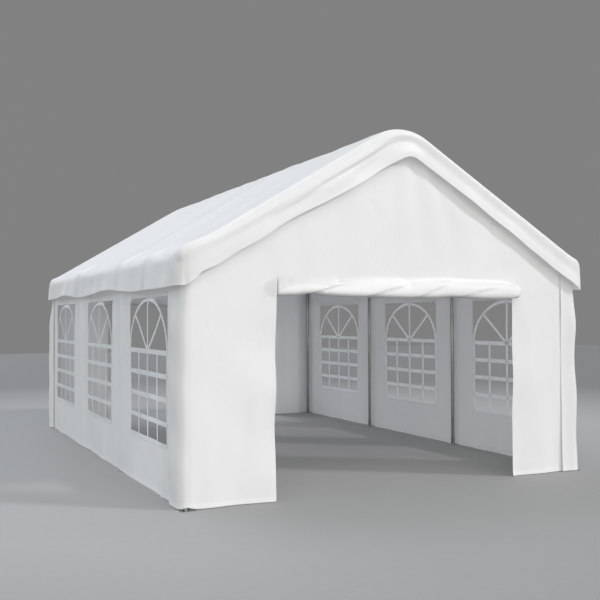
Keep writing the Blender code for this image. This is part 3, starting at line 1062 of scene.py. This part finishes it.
@dataclass
class EndWall:
    """An end wall: one sheet with a doorway, whose left edge turns the corner.

    Over the doorway the sheet runs on down the front of the rolled door, as the door it once was:
    lap_lead, lap_gone and lap_end are the angles round the roll where it touches and ends, lap_stand
    how far it stands off the roll. The panel beside the doorway has a bump over the roll's hidden end.
    At the corner the hem lifts over the post's foot plate. zip_bands are the zip's tape and coil: how far
    each lies beside the doorway's edge and behind the sheet, its width and its thickness.
    """

    tent: Tent
    end: End
    # painted shade on the panel where the rolled door's hidden end lies behind it
    finish: WovenSheet = WovenSheet(name="woven_end_sheet", shade_place=(-1.20, 0.0, 1.745))
    cell: float = 0.032
    fine: float = 0.0105
    slit: float = 0.006
    slit_steps: tuple[float, ...] = (0.0, 0.005, 0.010, 0.017)
    slit_clear: float = 0.028
    roll_clear: float = 0.17
    hidden_end: float = 0.14
    hidden_rounding: float = 0.055
    corner: float = 0.075
    front_wrap: Knots = (
        (0.0, 0.0), (0.08, 0.003), (0.15, 0.014), (0.30, 0.033), (0.51, 0.043), (0.71, 0.038), (0.87, 0.022),
        (1.0, 0.006),
    )
    back_wrap: Knots = (
        (0.0, 0.0), (0.14, 0.008), (0.27, 0.026), (0.40, 0.042), (0.53, 0.050), (0.67, 0.046), (0.85, 0.026),
        (1.0, 0.008),
    )
    upper_rows: int = 38
    roof_gap: float = 0.004
    seeds: tuple[int, int] = (41, 61)
    fan_pace: float = 27.0
    fan_depth: float = 0.0042
    bump_depth: float = 0.0018
    foot_lift: float = 0.017
    lap_lead: float = math.radians(10)
    lap_gone: float = math.radians(118)
    lap_end: float = math.radians(-100)
    lap_stand: float = 0.0012
    lap_pull: float = 0.36
    lap_steps: int = 25
    zip_bands: tuple[tuple[float, float, float, float], ...] = (
        (0.010, 0.0022, 0.020, 0.0016), (0.001, 0.0014, 0.0055, 0.0042),
    )
    flap_above: float = 0.13
    flap_below: float = 0.15
    flap_tops: Knots = (
        (-1.20, 0.045), (-0.90, 0.050), (-0.60, 0.056), (0.0, 0.058), (0.50, 0.048), (0.90, 0.036),
        (1.10, 0.024), (1.23, 0.010),
    )

    @property
    def flap(self) -> float:
        """How far the wall's left edge reaches past the corner."""
        return self.tent.front_flap if self.end is End.FRONT else self.tent.back_flap

    @property
    def corner_x(self) -> float:
        """Where the wall starts to turn the left corner."""
        return -self.tent.width / 2 + self.corner

    @property
    def flap_foot(self) -> float:
        """Height where the doorway's flap ends, in front of the roll."""
        return self.tent.door_head - self.flap_below

    def columns(self) -> Points:
        """Where the wall's columns of points stand.

        Returns:
            Places along the unrolled wall: x on the flat, beyond it round the left corner.
        """
        t = self.tent
        corner, arc = self.corner_x, self.corner * math.pi / 2
        right = t.width / 2 - t.corner_rounding - 2 * t.sheet
        near_roll = t.door_left - self.roll_clear
        slit = t.door_left + self.slit
        parts = [spaced(corner - arc - self.flap + self.corner, corner - arc, self.cell * 0.7)[:-1],
                 spaced(corner - arc, corner, arc / 10)[:-1],
                 spaced(corner, near_roll, self.cell)[:-1],
                 spaced(near_roll, t.door_left, self.cell * 0.4),
                 [slit + step for step in self.slit_steps],
                 spaced(slit + self.slit_clear, t.door_right - self.slit, self.cell * 0.6),
                 spaced(t.door_right, right, self.cell)]
        return np.array([u for part in parts for u in part])

    def rows(self) -> list[float]:
        """Where the lower rows of points lie.

        Returns:
            Heights up to where the sheet starts to lean over the roll.
        """
        t = self.tent
        return t.wall_rows([self.flap_foot], self.cell) + spaced(
            self.flap_foot, t.door_head + self.flap_above, self.fine)[1:]

    def rest(self, u: Points, z: Points) -> tuple[Points, Points]:
        """The smooth wall and its outward normals.

        Args:
            u: Places along the unrolled wall.
            z: Heights.

        Returns:
            Points and unit normals, for the front end.
        """
        radius, corner = self.corner, self.corner_x
        angle = np.clip((corner - u) / radius, 0, math.pi / 2)
        x = np.where(u > corner, u, corner - radius * np.sin(angle))
        y = -self.tent.length / 2 + radius - radius * np.cos(angle)
        y = y + np.maximum(corner - radius * math.pi / 2 - u, 0)
        return stacked(x, y, z), stacked(-np.sin(angle), -np.cos(angle), np.zeros_like(z))

    def folds(self, u: Points, z: Points) -> Points:
        """How far the soft folds stand out from the smooth wall.

        Args:
            u: Places along the unrolled wall.
            z: Heights.

        Returns:
            Metres outward.
        """
        t = self.tent
        seed = self.seeds[self.end is End.BACK]
        low = 1 - np.clip(z / t.door_head, 0, 1)
        lean = u + 0.10 * z / t.ridge_top
        soft = Ripples(seed, 0.55, 3.2).at(lean, z) + 0.35 * Ripples(seed + 1, 0.22, 1.4).at(lean, z)
        free = np.minimum(hump(u, t.door_left, 0.35) + hump(u, t.door_right, 0.35), 1)
        out = (0.003 + 0.004 * low + 0.004 * free * low) * soft
        narrowing = np.maximum(0.5, t.ridge_top + 0.5 - z)
        fan = np.cos(self.fan_pace * (u - 0.06) / narrowing) * hump(u, 0.10, 0.62)
        out += self.fan_depth * fan * ease(z, t.door_head, t.door_head + 0.5)
        held = ease(np.abs(u), t.width / 2 - 0.24, t.width / 2 - 0.13)
        over_roll = hump(u, 0, 1.1) * hump(z, t.door_head, 0.12)
        out = out * (1 - 0.75 * held) * (1 - over_roll) + 0.0015
        return out + self.wrap_stand(u, z) + self.roll_behind(u, z)

    def wrap_stand(self, u: Points, z: Points) -> Points:
        """How far the part round the corner bulges and stands off the side wall.

        Args:
            u: Places along the unrolled wall.
            z: Heights.

        Returns:
            Metres outward.
        """
        share = np.clip((self.corner_x - u) / (self.corner_x - float(self.columns()[0])), 0, 1)
        wave = 1 + (0.16 if self.end is End.FRONT else 0.05) * Ripples(47, 0.9, 0.75).at(u, z)
        under_valance = 1 - 0.78 * ease(z, 1.35, 1.78)
        knots = self.front_wrap if self.end is End.FRONT else self.back_wrap
        return spline(share, knots) * wave * under_valance

    def roll_behind(self, u: Points, z: Points) -> Points:
        """The bump where the hidden end of the rolled door pushes the panel out.

        Args:
            u: Places along the unrolled wall.
            z: Heights.

        Returns:
            Metres outward.
        """
        t = self.tent
        rounding = self.hidden_rounding
        along = np.maximum(t.door_left - self.hidden_end + rounding - u, 0) / rounding
        upright = np.abs(z - t.door_head + t.roll_radius) / t.roll_radius
        return self.bump_depth * ease(np.hypot(along, upright), 1.25, 0.60) * (u < t.door_left + 1e-6)

    def over_roll(self, x: float, z: Points) -> tuple[Points, Points]:
        """The sheet's course from the wall over the front of the rolled door.

        Args:
            x: Place along the doorway.
            z: Heights that the rows would have on a straight wall.

        Returns:
            How far out each row lies, and its height.
        """
        t = self.tent
        roll = DoorRoll(t, self.end)
        x = np.array(x)
        top = t.door_head + float(spline(x, self.flap_tops))
        centre = np.array([-roll.centre_y(x) - t.length / 2, roll.centre_z(x)])
        start = np.array([0.0, top])
        away = start - centre
        touch = math.atan2(away[1], away[0]) - math.acos(t.roll_radius / math.hypot(*away))
        gone = float(ease(x, t.door_right - 0.13, t.door_right - 0.015))
        touch = touch + self.lap_lead + gone * (self.lap_gone - touch)
        last = self.lap_end + gone * (touch - 0.03 - self.lap_end)
        angles = np.linspace(touch, last, self.lap_steps)
        places = np.full_like(angles, x)
        radius = roll.radius(places, angles) + self.lap_stand
        arc = centre + stacked(roll.reach(places, radius, angles), radius * np.sin(angles))
        pull = self.lap_pull * np.linalg.norm(start - arc[0])
        along = np.array([math.sin(touch), -math.cos(touch)])
        controls = (start, start - [0, pull], arc[0] - along * pull, arc[0])
        s = np.linspace(0, 1, self.lap_steps)[:, None]
        weights = ((1 - s) ** 3, 3 * s * (1 - s) ** 2, 3 * s * s * (1 - s), s**3)
        course = np.concatenate([sum(w * c for w, c in zip(weights, controls)), arc[1:]])
        run = run_of(course)
        wanted = run[-1] * (top - z) / (top - self.flap_foot)
        height = np.where(wanted > 0, np.interp(wanted, run, course[:, 1]), z)
        return np.interp(wanted, run, course[:, 0]), height

    def build(self) -> list[Object]:
        """Makes the wall with its zips.

        Returns:
            The wall and its zips.
        """
        t = self.tent
        u, low = self.columns(), np.array(self.rows())
        roof = t.roof_z(np.clip(u, -t.width / 2 + 0.01, t.width / 2)) - t.sheet - self.roof_gap
        top = np.minimum(np.where(u < self.corner_x, t.side_wall_top, roof), roof)
        shares = np.array(spaced(0, 1, 1 / self.upper_rows)[1:])[:, None]
        z = np.concatenate([np.tile(low[:, None], len(u)), low[-1] + (top - low[-1]) * shares])
        grid_u = np.broadcast_to(u, z.shape)
        points, normal = self.rest(grid_u, z)
        out = self.folds(grid_u, z) + t.hem_out(z)
        points = self.pull_door_edges(points + normal * out[..., None], grid_u, z)
        at_plate = hump(grid_u, -t.width / 2 + 0.040, 0.040) * np.clip(1 - z / 0.15, 0, 1)
        points[..., 2] += self.foot_lift * at_plate
        door = (u > t.door_left + self.slit / 2) & (u < t.door_right - self.slit / 2)
        rows = slice(int(np.argmax(low > self.flap_foot - 1e-6)), len(low))
        for j in np.flatnonzero(door):
            forward, points[rows, j, 2] = self.over_roll(float(u[j]), z[rows, j])
            points[rows, j, 1] -= forward
        both, either = door[:-1] & door[1:], door[:-1] ^ door[1:]
        upper = z[1:, :-1]
        keep = ~((both & (upper < self.flap_foot + 1e-6)) | (either & (upper < t.door_head + 0.004)))
        points[..., 1] *= -self.end.value
        mesh = Mesh()
        mesh.add_grid(points, stacked(grid_u, z), keep)
        name = self.end.name.lower()
        stands_for = (f"{name}_wall_left", f"{name}_wall_right", f"{name}_gable")
        wall = place(mesh.build(f"{name}_end_wall"), self.finish, *stands_for)
        zip_tape = self.build_zips(points, u, z)
        return [wall, zip_tape]

    def build_zips(self, points: Points, u: Points, z: Points) -> Object:
        """Makes the zip tapes and coils down both sides of the doorway.

        Args:
            points: The wall's grid of points.
            u: Its columns' places along the unrolled wall.
            z: Its points' heights.

        Returns:
            The zips as one piece.
        """
        t = self.tent
        rows = np.flatnonzero(z[:, 0] < t.door_head)[1:]
        zips = Mesh()
        for edge in (t.door_left, t.door_right):
            column = points[rows, int(np.argmin(np.abs(u - edge)))]
            for beside, behind, width, thickness in self.zip_bands:
                offset = [math.copysign(beside, edge), -self.end.value * behind, 0]
                zips.add_band(column + offset, width, thickness)
        return place(zips.build(f"{self.end.name.lower()}_door_zips", SHARP_EDGE), Webbing())

    def pull_door_edges(self, points: Points, u: Points, z: Points) -> Points:
        """Bows the free edges of the doorway.

        Args:
            points: The wall's grid of points, moved in place.
            u: Their places along the unrolled wall.
            z: Their heights.

        Returns:
            The same points.
        """
        t = self.tent
        share = np.clip(z / t.door_head, 0, 1)
        bow = np.sin(math.pi * share ** 0.9)
        below = z < t.door_head + 1e-6
        left = ease(u, t.door_left - 0.5, t.door_left) * (u < t.door_left + 1e-6) * below
        right = ease(u, t.door_right + 0.5, t.door_right) * (u > t.door_right - 1e-6) * below
        ripple = 0.004 * np.sin(11 * z + 0.6)
        points[..., 0] -= left * ((0.014 + ripple) * bow + 0.018 * (1 - share) ** 1.5)
        points[..., 0] += right * (0.010 - 0.5 * ripple) * bow
        points[..., 1] -= (left + 0.4 * right) * 0.012 * np.sin(7.5 * z + 1.0) * bow
        return points


@dataclass
class DoorRoll:
    """A door rolled up over its doorway and held by three straps.

    Its section is a spiral of lobes that twists along it. underside says how far its middle lies above
    its lowest place, sink how far it lies back into the doorway, and gap is the air to what it touches.
    """

    tent: Tent
    end: End
    finish: WovenSheet = WovenSheet(name="woven_roll_sheet")
    around: int = 72
    seeds: tuple[int, int] = (71, 81)
    end_rounding: float = 0.075
    cell: float = 0.012
    twist: float = 4.2
    lobes: int = 3
    underside: Knots = (
        (-1.33, 0.006), (-1.16, 0.010), (-1.04, 0.016), (-0.88, 0.032), (-0.77, 0.020), (-0.62, 0.012),
        (-0.3, 0.004), (0.0, 0.0), (0.34, 0.002), (0.52, 0.012), (0.65, 0.004), (0.81, -0.002), (1.28, 0.0),
    )
    straps: tuple[float, ...] = (-0.74, 0.08, 0.78)
    strap_width: float = 0.022
    strap_thickness: float = 0.0014
    strap_lift: float = 0.0028
    strap_steps: int = 48
    gap: float = 0.0003
    sink: float = 0.034
    past_left: float = 0.13
    past_right: float = 0.045

    def centre_y(self, x: Points) -> Points:
        """How far the roll's middle lies along the tent, for the front end.

        Args:
            x: Places along the roll.

        Returns:
            The y of the middle at each place.
        """
        t = self.tent
        clear = t.roll_radius + self.gap
        share = ease(x, t.door_left + t.roll_radius, t.door_right - t.roll_radius)
        sunk = self.sink * share * ease(x, t.door_right - 0.02, t.door_right - 0.34)
        return -t.length / 2 + (t.sheet + clear) * (1 - share) - clear * share + sunk

    def reach(self, x: Points, radius: Points, angle: Points) -> Points:
        """How far out the roll's face lies from its middle, fuller to the left and flatter to the right.

        Args:
            x: Places along the roll.
            radius: The roll's radius there.
            angle: Angle round the roll, 0 at the outer side.

        Returns:
            Metres outward.
        """
        across = np.cos(angle)
        fullness = 0.93 + 0.23 * ease(x, -1.22, -1.02) - 0.40 * ease(x, -0.6, 0.5)
        return radius * across * np.where(across > 0, fullness, 1.0)

    def face(self, x: Points, radius: Points, angle: Points) -> Points:
        """Points on the roll.

        Args:
            x: Places along the roll.
            radius: How far from its middle they lie, before the face is flattened.
            angle: Angle round the roll, 0 at the outer side and rising upwards.

        Returns:
            The points, at this roll's own end.
        """
        y = self.centre_y(x) - self.reach(x, radius, angle)
        return stacked(x, -self.end.value * y, self.centre_z(x) + radius * np.sin(angle))

    def centre_z(self, x: Points) -> Points:
        """Height of the roll's middle, which sways a little along its length."""
        t = self.tent
        return t.door_head - self.gap - t.roll_radius + spline(x, self.underside)

    def radius(self, x: Points, angle: Points) -> Points:
        """The lumpy roll's radius.

        Args:
            x: Places along the roll.
            angle: Angle round the roll, 0 at the outer side and rising upwards.

        Returns:
            The radius at each place.
        """
        t = self.tent
        seed = self.seeds[self.end is End.BACK]
        turned = angle - self.twist * (x + 0.93) + math.radians(70) + 0.15 * np.sin(5 * x + seed)
        share = np.mod(turned * self.lobes / math.tau, 1)
        lobe = ease(share, 0, 0.08) * (1 - share) ** 0.7
        fine = Ripples(seed, 0.5, 0.5).at(x, np.cos(angle) * 0.35) * 0.012
        tight = sum(hump(x, s, 0.020) for s in self.straps)
        neck = 0.30 * ease(np.abs(x - t.door_left - 0.001), 0.021, 0.008)
        square = (np.abs(np.cos(angle)) ** 3 + np.abs(np.sin(angle)) ** 3) ** (-1 / 3)
        swell = 0.09 * np.exp((np.cos(angle + 0.62) - 1) / 0.12)
        hollow = 0.06 * np.exp((np.cos(angle - 0.80) - 1) / 0.15)
        slant = (swell - hollow) * (1 + 0.9 * ease(x, 0.2, -0.6))
        return t.roll_radius * (0.87 + 0.15 * lobe + fine + slant - 0.035 * tight - neck) * square

    def build(self) -> list[Object]:
        """Makes the roll and its straps.

        Returns:
            The roll and the straps.
        """
        t = self.tent
        left, right = t.door_left - self.past_left, t.door_right + self.past_right
        xs = np.array(spaced(left, right, self.cell))
        gx, ga = np.meshgrid(xs, np.linspace(0, math.tau, self.around, endpoint=False), indexing="ij")
        ends = np.minimum(gx - left, right - gx)
        tuck = np.sqrt(np.clip(1 - (1 - np.clip(ends / self.end_rounding, 0, 1)) ** 2, 0.03, 1))
        spiral = 1 - 0.05 * np.exp(-ends / 0.02) * np.sin(3 * ga)
        points = self.face(gx, self.radius(gx, ga) * tuck * spiral, ga)
        mesh = Mesh()
        mesh.add_grid(points, stacked(gx, ga * t.roll_radius), loop=True)
        for row, way in ((0, -1), (len(xs) - 1, 1)):
            rim = [row * self.around + i for i in range(self.around)]
            mesh.points.append(tuple(points[row].mean(axis=0) + [way * 0.002, 0, 0]))
            mesh.uvs.append((0.0, 0.0))
            middle = len(mesh.points) - 1
            mesh.faces += [(middle, a, b) for a, b in zip(rim, rim[1:] + rim[:1])]
        name = self.end.name.lower()
        roll = place(mesh.build(f"{name}_rolled_door"), self.finish, f"{name}_door_roll")
        return [roll, place(self.strap_mesh().build(f"{name}_door_straps", SHARP_EDGE), Webbing())]

    def strap_mesh(self) -> Mesh:
        """Makes the tie straps as loops round the roll.

        Returns:
            One mesh with all of them.
        """
        mesh = Mesh()
        angle = np.linspace(0, math.tau, self.strap_steps, endpoint=False)
        for x in self.straps:
            places = np.full_like(angle, x)
            path = self.face(places, self.radius(places, angle) + self.strap_lift, angle)
            mesh.add_band(path, self.strap_width, self.strap_thickness, closed=True)
        return mesh


@dataclass
class SideWall:
    """A side wall with three arched windows; the right one turns both corners.

    spring is the height where the bars' arches start, and bar_lifts are the printed bars' inner and outer
    faces, outside the wall's own sheet. The wall is set back over its windows and bulges at the posts.
    """

    tent: Tent
    side: Side
    finish: WovenSheet = WovenSheet(name="woven_side_sheet")
    cell: float = 0.035
    seeds: tuple[int, int] = (91, 101)
    bar_narrow: float = 0.030
    bar_wide: float = 0.042
    bar_heights: tuple[float, ...] = (0.435, 0.62, 0.82, 1.015, 1.21)
    spring: float = 1.21
    film_lap: float = 0.012
    film_behind: float = 0.0024
    bar_lifts: tuple[float, float] = (0.0006, 0.0014)
    bar_clear: float = 0.004
    set_back: float = 0.032
    post_bulge: float = 0.020
    corner_bulge: float = 0.026

    def columns(self) -> Points:
        """Where the wall's columns of points stand.

        Returns:
            Places along the unrolled wall: y on the flat, beyond it round the corners.
        """
        t = self.tent
        end = t.length / 2 - t.corner_rounding - 2 * t.sheet
        stops = [-end, *(y + way * t.window_width / 2 for y in t.window_ys() for way in (-1, 1)), end]
        flat = spaced_over(stops, self.cell)
        if self.side is Side.LEFT:
            return np.array(flat)
        corner, arc = self.corner, self.radius * math.pi / 2
        turned, edge = corner + arc, corner + arc + t.side_flap - self.radius
        extra = spaced(corner, turned, arc / 8)[1:] + spaced(turned, edge, self.cell)[1:]
        flat = [v for v in flat if abs(v) < corner - 0.004]
        return np.array([-v for v in reversed(extra)] + [-corner] + flat + [corner] + extra)

    @property
    def radius(self) -> float:
        """The radius of the right wall's corners."""
        return self.tent.corner_rounding + self.tent.sheet

    @property
    def corner(self) -> float:
        """Where the right wall's corners start to turn."""
        return self.tent.length / 2 + self.tent.sheet + 0.002 - self.radius

    def rest(self, v: Points, z: Points) -> tuple[Points, Points]:
        """The smooth wall and its outward normals, for the right side.

        Args:
            v: Places along the unrolled wall.
            z: Heights.

        Returns:
            Points and unit normals.
        """
        t = self.tent
        away = np.abs(v)
        angle = np.clip((away - self.corner) / self.radius, 0, math.pi / 2)
        beyond = np.maximum(away - self.corner - self.radius * math.pi / 2, 0)
        x = t.width / 2 - t.sheet / 2 - self.radius + self.radius * np.cos(angle) - beyond
        y = np.sign(v) * (np.minimum(away, self.corner) + self.radius * np.sin(angle))
        return stacked(x, y, z), stacked(np.cos(angle), np.sign(v) * np.sin(angle), np.zeros_like(z))

    def folds(self, v: Points, z: Points) -> Points:
        """How far the soft folds stand out from the smooth wall.

        Args:
            v: Places along the unrolled wall.
            z: Heights.

        Returns:
            Metres outward.
        """
        t = self.tent
        seed = self.seeds[self.side is Side.RIGHT]
        low = 1 - np.clip(z / t.side_wall_top, 0, 1)
        window = np.minimum(sum(hump(v, y, 0.62) for y in t.window_ys()), 1) * ease(z, 0.22, 0.42)
        loose = 0.0025 + 0.0055 * low * (1 - 0.6 * window)
        short = 0.35 * loose * (1 - 0.9 * window) * Ripples(seed + 1, 0.17, 0.8).at(v, z)
        out = loose * Ripples(seed, 0.42, 1.9).at(v, z) + short
        posts = sum(hump(v, y, 0.075) for y in t.portal_ys()[1:-1])
        header = self.header(v, z)
        out = out * (1 - 0.7 * posts) + self.post_bulge * posts * (1 - 0.4 * low) - self.set_back * header
        away = np.abs(v)
        if self.side is Side.LEFT:
            return out * (1 - 0.9 * ease(away, 2.45, 2.62) * (1 - header))
        turned = ease(away, self.corner - 0.10, self.corner)
        edge = ease(away, float(away.max()) - 0.06, float(away.max())) * turned
        wave = 1 + 0.3 * Ripples(seed + 2, 9.0, 0.8).at(v, z)
        middle = self.corner + self.radius * math.pi / 4
        bulge = self.corner_bulge * hump(away, middle - 0.02, 0.085) * (1 - 0.75 * ease(z, 1.35, 1.75))
        lifted = 0.0022 + 0.0050 * ease(z, 1.40, 1.65)
        return out * (1 - 0.55 * turned) + (0.0018 * turned + lifted * edge + bulge) * wave

    def header(self, v: Points, z: Points) -> Points:
        """Where the wall is drawn in over its windows.

        Args:
            v: Places along the unrolled wall.
            z: Heights.

        Returns:
            0 where it isn't, up to 1 where it is fully drawn in.
        """
        t = self.tent
        half = t.window_width / 2
        over = sum(ease(np.abs(v - y), half + 0.02, half - 0.03) for y in t.window_ys())
        above = ease(z, t.window_head - 0.05, t.window_head + 0.02)
        return over * above * ease(z, t.side_wall_top - 0.03, t.side_wall_top - 0.10)

    def place_points(self, v: Points, z: Points, outward: float = 0.0) -> Points:
        """Points on the folded wall.

        Args:
            v: Places along the unrolled wall.
            z: Heights.
            outward: How far outside the sheet the points lie.

        Returns:
            The points, on this wall's own side.
        """
        points, normal = self.rest(v, z)
        return (points + normal * (self.folds(v, z) + outward)[..., None]) * [self.side.value, 1, 1]

    def build(self) -> list[Object]:
        """Makes the wall, its window films and their bars.

        Returns:
            The wall, then each window's pieces.
        """
        t = self.tent
        name = self.side.name.lower()
        v = self.columns()
        rows = t.wall_rows([t.window_sill, t.window_head, t.side_wall_top], self.cell)
        grid_z, grid_v = np.meshgrid(np.array(rows), v, indexing="ij")
        points = self.place_points(grid_v, grid_z, t.hem_out(grid_z))
        middle_v = (grid_v[:-1, :-1] + grid_v[:-1, 1:]) / 2
        middle_z = (grid_z[:-1, :-1] + grid_z[1:, :-1]) / 2
        beside = [np.abs(middle_v - y) > t.window_width / 2 for y in t.window_ys()]
        keep = np.all(beside, axis=0) | (middle_z < t.window_sill) | (middle_z > t.window_head)
        mesh = Mesh()
        mesh.add_grid(points, stacked(grid_v, grid_z), keep)
        wall = place(mesh.build(f"{name}_side_wall"), self.finish, f"{name}_wall")
        pieces = [wall]
        for number, y in enumerate(t.window_ys(), start=1):
            pieces += self.build_window(name, number, y)
        return pieces

    def build_window(self, name: str, number: int, y: float) -> list[Object]:
        """Makes one window's film and its printed bars.

        Args:
            name: The side's name.
            number: The window's number along the side.
            y: Its middle along the tent.

        Returns:
            The film and the bars.
        """
        t = self.tent
        reach = t.window_width / 2 + self.film_lap
        v = np.array(spaced(y - reach, y + reach, self.cell))
        z = np.array(spaced(t.window_sill - self.film_lap, t.window_head + self.film_lap, self.cell))
        grid_z, grid_v = np.meshgrid(z, v, indexing="ij")
        film_mesh, bar_mesh = Mesh(), Mesh()
        film_mesh.add_grid(self.place_points(grid_v, grid_z, -self.film_behind), stacked(grid_v, grid_z))
        pane = f"window_pane_{name}_{number}"
        film = place(film_mesh.build(f"{name}_window_film_{number}"), ClearFilm(), pane)
        for path, width in self.bar_paths(y):
            self.add_bar(bar_mesh, path, width)
        return [film, place(bar_mesh.build(f"{name}_window_bars_{number}", SHARP_EDGE), PrintedBar())]

    def bar_paths(self, y: float) -> list[tuple[Points, float]]:
        """Lays out a window's bars.

        Args:
            y: The window's middle along the tent.

        Returns:
            Each bar's centre line as (v, z) points, with its width.
        """
        half, narrow = self.tent.window_width / 2, self.bar_narrow
        side = half - narrow / 2
        rise = self.tent.window_head - self.spring - narrow / 2 - self.bar_clear
        level = spaced(-half, half, self.cell)
        paths = [([(y + v, z) for v in level], self.bar_wide) for z in self.bar_heights]
        upright = spaced(self.bar_heights[0], self.spring, self.cell)
        paths += [([(y + v, z) for z in upright], narrow) for v in (-side, -half / 2, 0.0, half / 2, side)]
        angles = np.linspace(0, math.pi, 49)
        paths.append((stacked(y + side * np.cos(angles), self.spring + rise * np.sin(angles)), narrow))
        paths.append(([(y, z) for z in spaced(self.spring, self.spring + rise, self.cell)], narrow))
        foot, lean = np.array([y, self.spring]), math.radians(45)
        for sign in (-1, 1):
            tip = foot + [sign * side * math.cos(lean), rise * math.sin(lean)]
            paths.append((np.linspace(foot, tip, 17), narrow))
        return [(np.array(path), width) for path, width in paths]

    def add_bar(self, mesh: Mesh, path: Points, width: float) -> None:
        """Adds one printed bar to the mesh, just outside the film.

        Args:
            mesh: The mesh of all the bars.
            path: The bar's centre line as (v, z) points.
            width: Its width.
        """
        along = np.gradient(path, axis=0)
        along /= np.linalg.norm(along, axis=1, keepdims=True)
        across = stacked(-along[:, 1], along[:, 0]) * width
        low, high = self.bar_lifts
        sides = []
        for share, lift in ((-0.5, low), (0.5, low), (0.5, high), (-0.5, high)):
            flat = path + across * share
            sides.append(self.place_points(flat[:, 0], flat[:, 1], lift))
        uv = np.zeros((len(path), 4, 2))
        uv[:, :, 1] = (np.arange(len(path)) * self.cell)[:, None]
        mesh.add_tube(np.stack(sides, axis=1), uv)


@dataclass
class TubeFrame:
    """The steel frame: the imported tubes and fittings, dressed in coated steel."""

    tube: CoatedSteel = CoatedSteel()
    fitting: CoatedSteel = CoatedSteel("coated_steel_fitting", "fitting_steel", (0.19, 0.195, 0.195), 0.34)

    def build(self) -> list[Object]:
        """Dresses the frame's nodes.

        Returns:
            The dressed nodes.
        """
        kinds = {"post": self.tube, "rafter": self.tube, "purlin": self.tube, "fitting": self.fitting}
        dressed = []
        for name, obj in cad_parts.items():
            for kind in kinds.keys() & name.split("_"):
                obj.data.materials.clear()
                obj.data.materials.append(material_of(kinds[kind]))
                dressed.append(obj)
        return dressed


@dataclass(frozen=True)
class Lamp:
    """A soft sun lamp: the way it shines, its strength, its spread in degrees and its colour."""

    name: str
    towards: Place
    strength: float
    spread: float
    colour: Colour

    def build(self) -> Object:
        """Makes the lamp.

        Returns:
            The new lamp.
        """
        data = bpy.data.lights.new(self.name, "SUN")
        data.energy, data.angle, data.color = self.strength, math.radians(self.spread), self.colour
        lamp = linked(self.name, data)
        lamp.rotation_euler = Vector(self.towards).to_track_quat("-Z", "Y").to_euler()
        return lamp


@dataclass
class Studio:
    """A pale floor, soft light and the camera at the photograph's angle.

    The camera's lens and sensor are in millimetres.
    """

    camera_place: Place = (-4.0825, -9.3872, 1.4948)
    yaw: float = math.radians(25.6805)
    pitch: float = math.radians(1.2306)
    roll: float = math.radians(-0.2449)
    lens: float = 51.527
    sensor: float = 36.0
    far_clip: float = 200.0
    world_colour: Colour = (1.0, 1.0, 1.0)
    world_strength: float = 0.22
    tones: str = "Standard"
    floor_size: float = 60.0
    floor_cell: float = 2.0
    lamps: tuple[Lamp, ...] = (
        Lamp("soft_key", (-1.30, 1.00, -0.95), 1.58, 7.0, (0.955, 0.91, 1.0)),
        Lamp("soft_front", (0.15, 1.00, -0.35), 1.79, 90.0, (1.0, 0.955, 0.875)),
        Lamp("soft_top", (0.30, 0.20, -1.0), 1.30, 150.0, (0.86, 0.975, 1.0)),
        Lamp("soft_back", (0.35, -0.85, -0.75), 1.40, 60.0, (0.87, 0.88, 1.0)),
    )

    def build(self) -> list[Object]:
        """Makes the floor, the lamps and the camera, and sets the air and the tones.

        Returns:
            What it made.
        """
        bpy.context.scene.view_settings.view_transform = self.tones
        self.set_air()
        return [self.build_floor(), *(lamp.build() for lamp in self.lamps), self.build_camera()]

    def set_air(self) -> None:
        """Gives the scene its even light from all round."""
        world = bpy.data.worlds.new("studio_air")
        world.use_nodes = True
        air = world.node_tree.nodes["Background"]
        air.inputs["Color"].default_value = (*self.world_colour, 1)
        air.inputs["Strength"].default_value = self.world_strength
        bpy.context.scene.world = world

    def build_floor(self) -> Object:
        """Makes the floor.

        Returns:
            The floor.
        """
        side = spaced(-self.floor_size / 2, self.floor_size / 2, self.floor_cell)
        gx, gy = np.meshgrid(side, side, indexing="ij")
        mesh = Mesh()
        mesh.add_grid(stacked(gx, gy, np.zeros_like(gx)), stacked(gx, gy))
        floor = mesh.build("studio_floor")
        floor.data.materials.append(material_of(StudioFloor()))
        return floor

    def build_camera(self) -> Object:
        """Makes the camera and gives it to the scene.

        Returns:
            The camera.
        """
        data = bpy.data.cameras.new("view")
        data.lens, data.sensor_width, data.clip_end = self.lens, self.sensor, self.far_clip
        camera = linked("view", data)
        matrix = Matrix.Translation(self.camera_place)
        for angle, axis in ((-self.yaw, "Z"), (math.pi / 2 + self.pitch, "X"), (self.roll, "Z")):
            matrix = matrix @ Matrix.Rotation(angle, 4, axis)
        camera.matrix_world = matrix
        bpy.context.scene.camera = camera
        return camera


def main() -> None:
    """Builds and dresses the marquee in order, and notes each piece."""
    logging.basicConfig(level=logging.INFO, format="%(message)s")
    parts = [Studio(), TubeFrame(), RoofCover(TENT)]
    parts += [SideWall(TENT, side) for side in Side]
    for end in End:
        parts += [EndWall(TENT, end), DoorRoll(TENT, end)]
    for part in parts:
        for piece in part.build():
            LOG.info("%s: %s", type(part).__name__, piece.name)


if __name__ == "__main__":
    main()
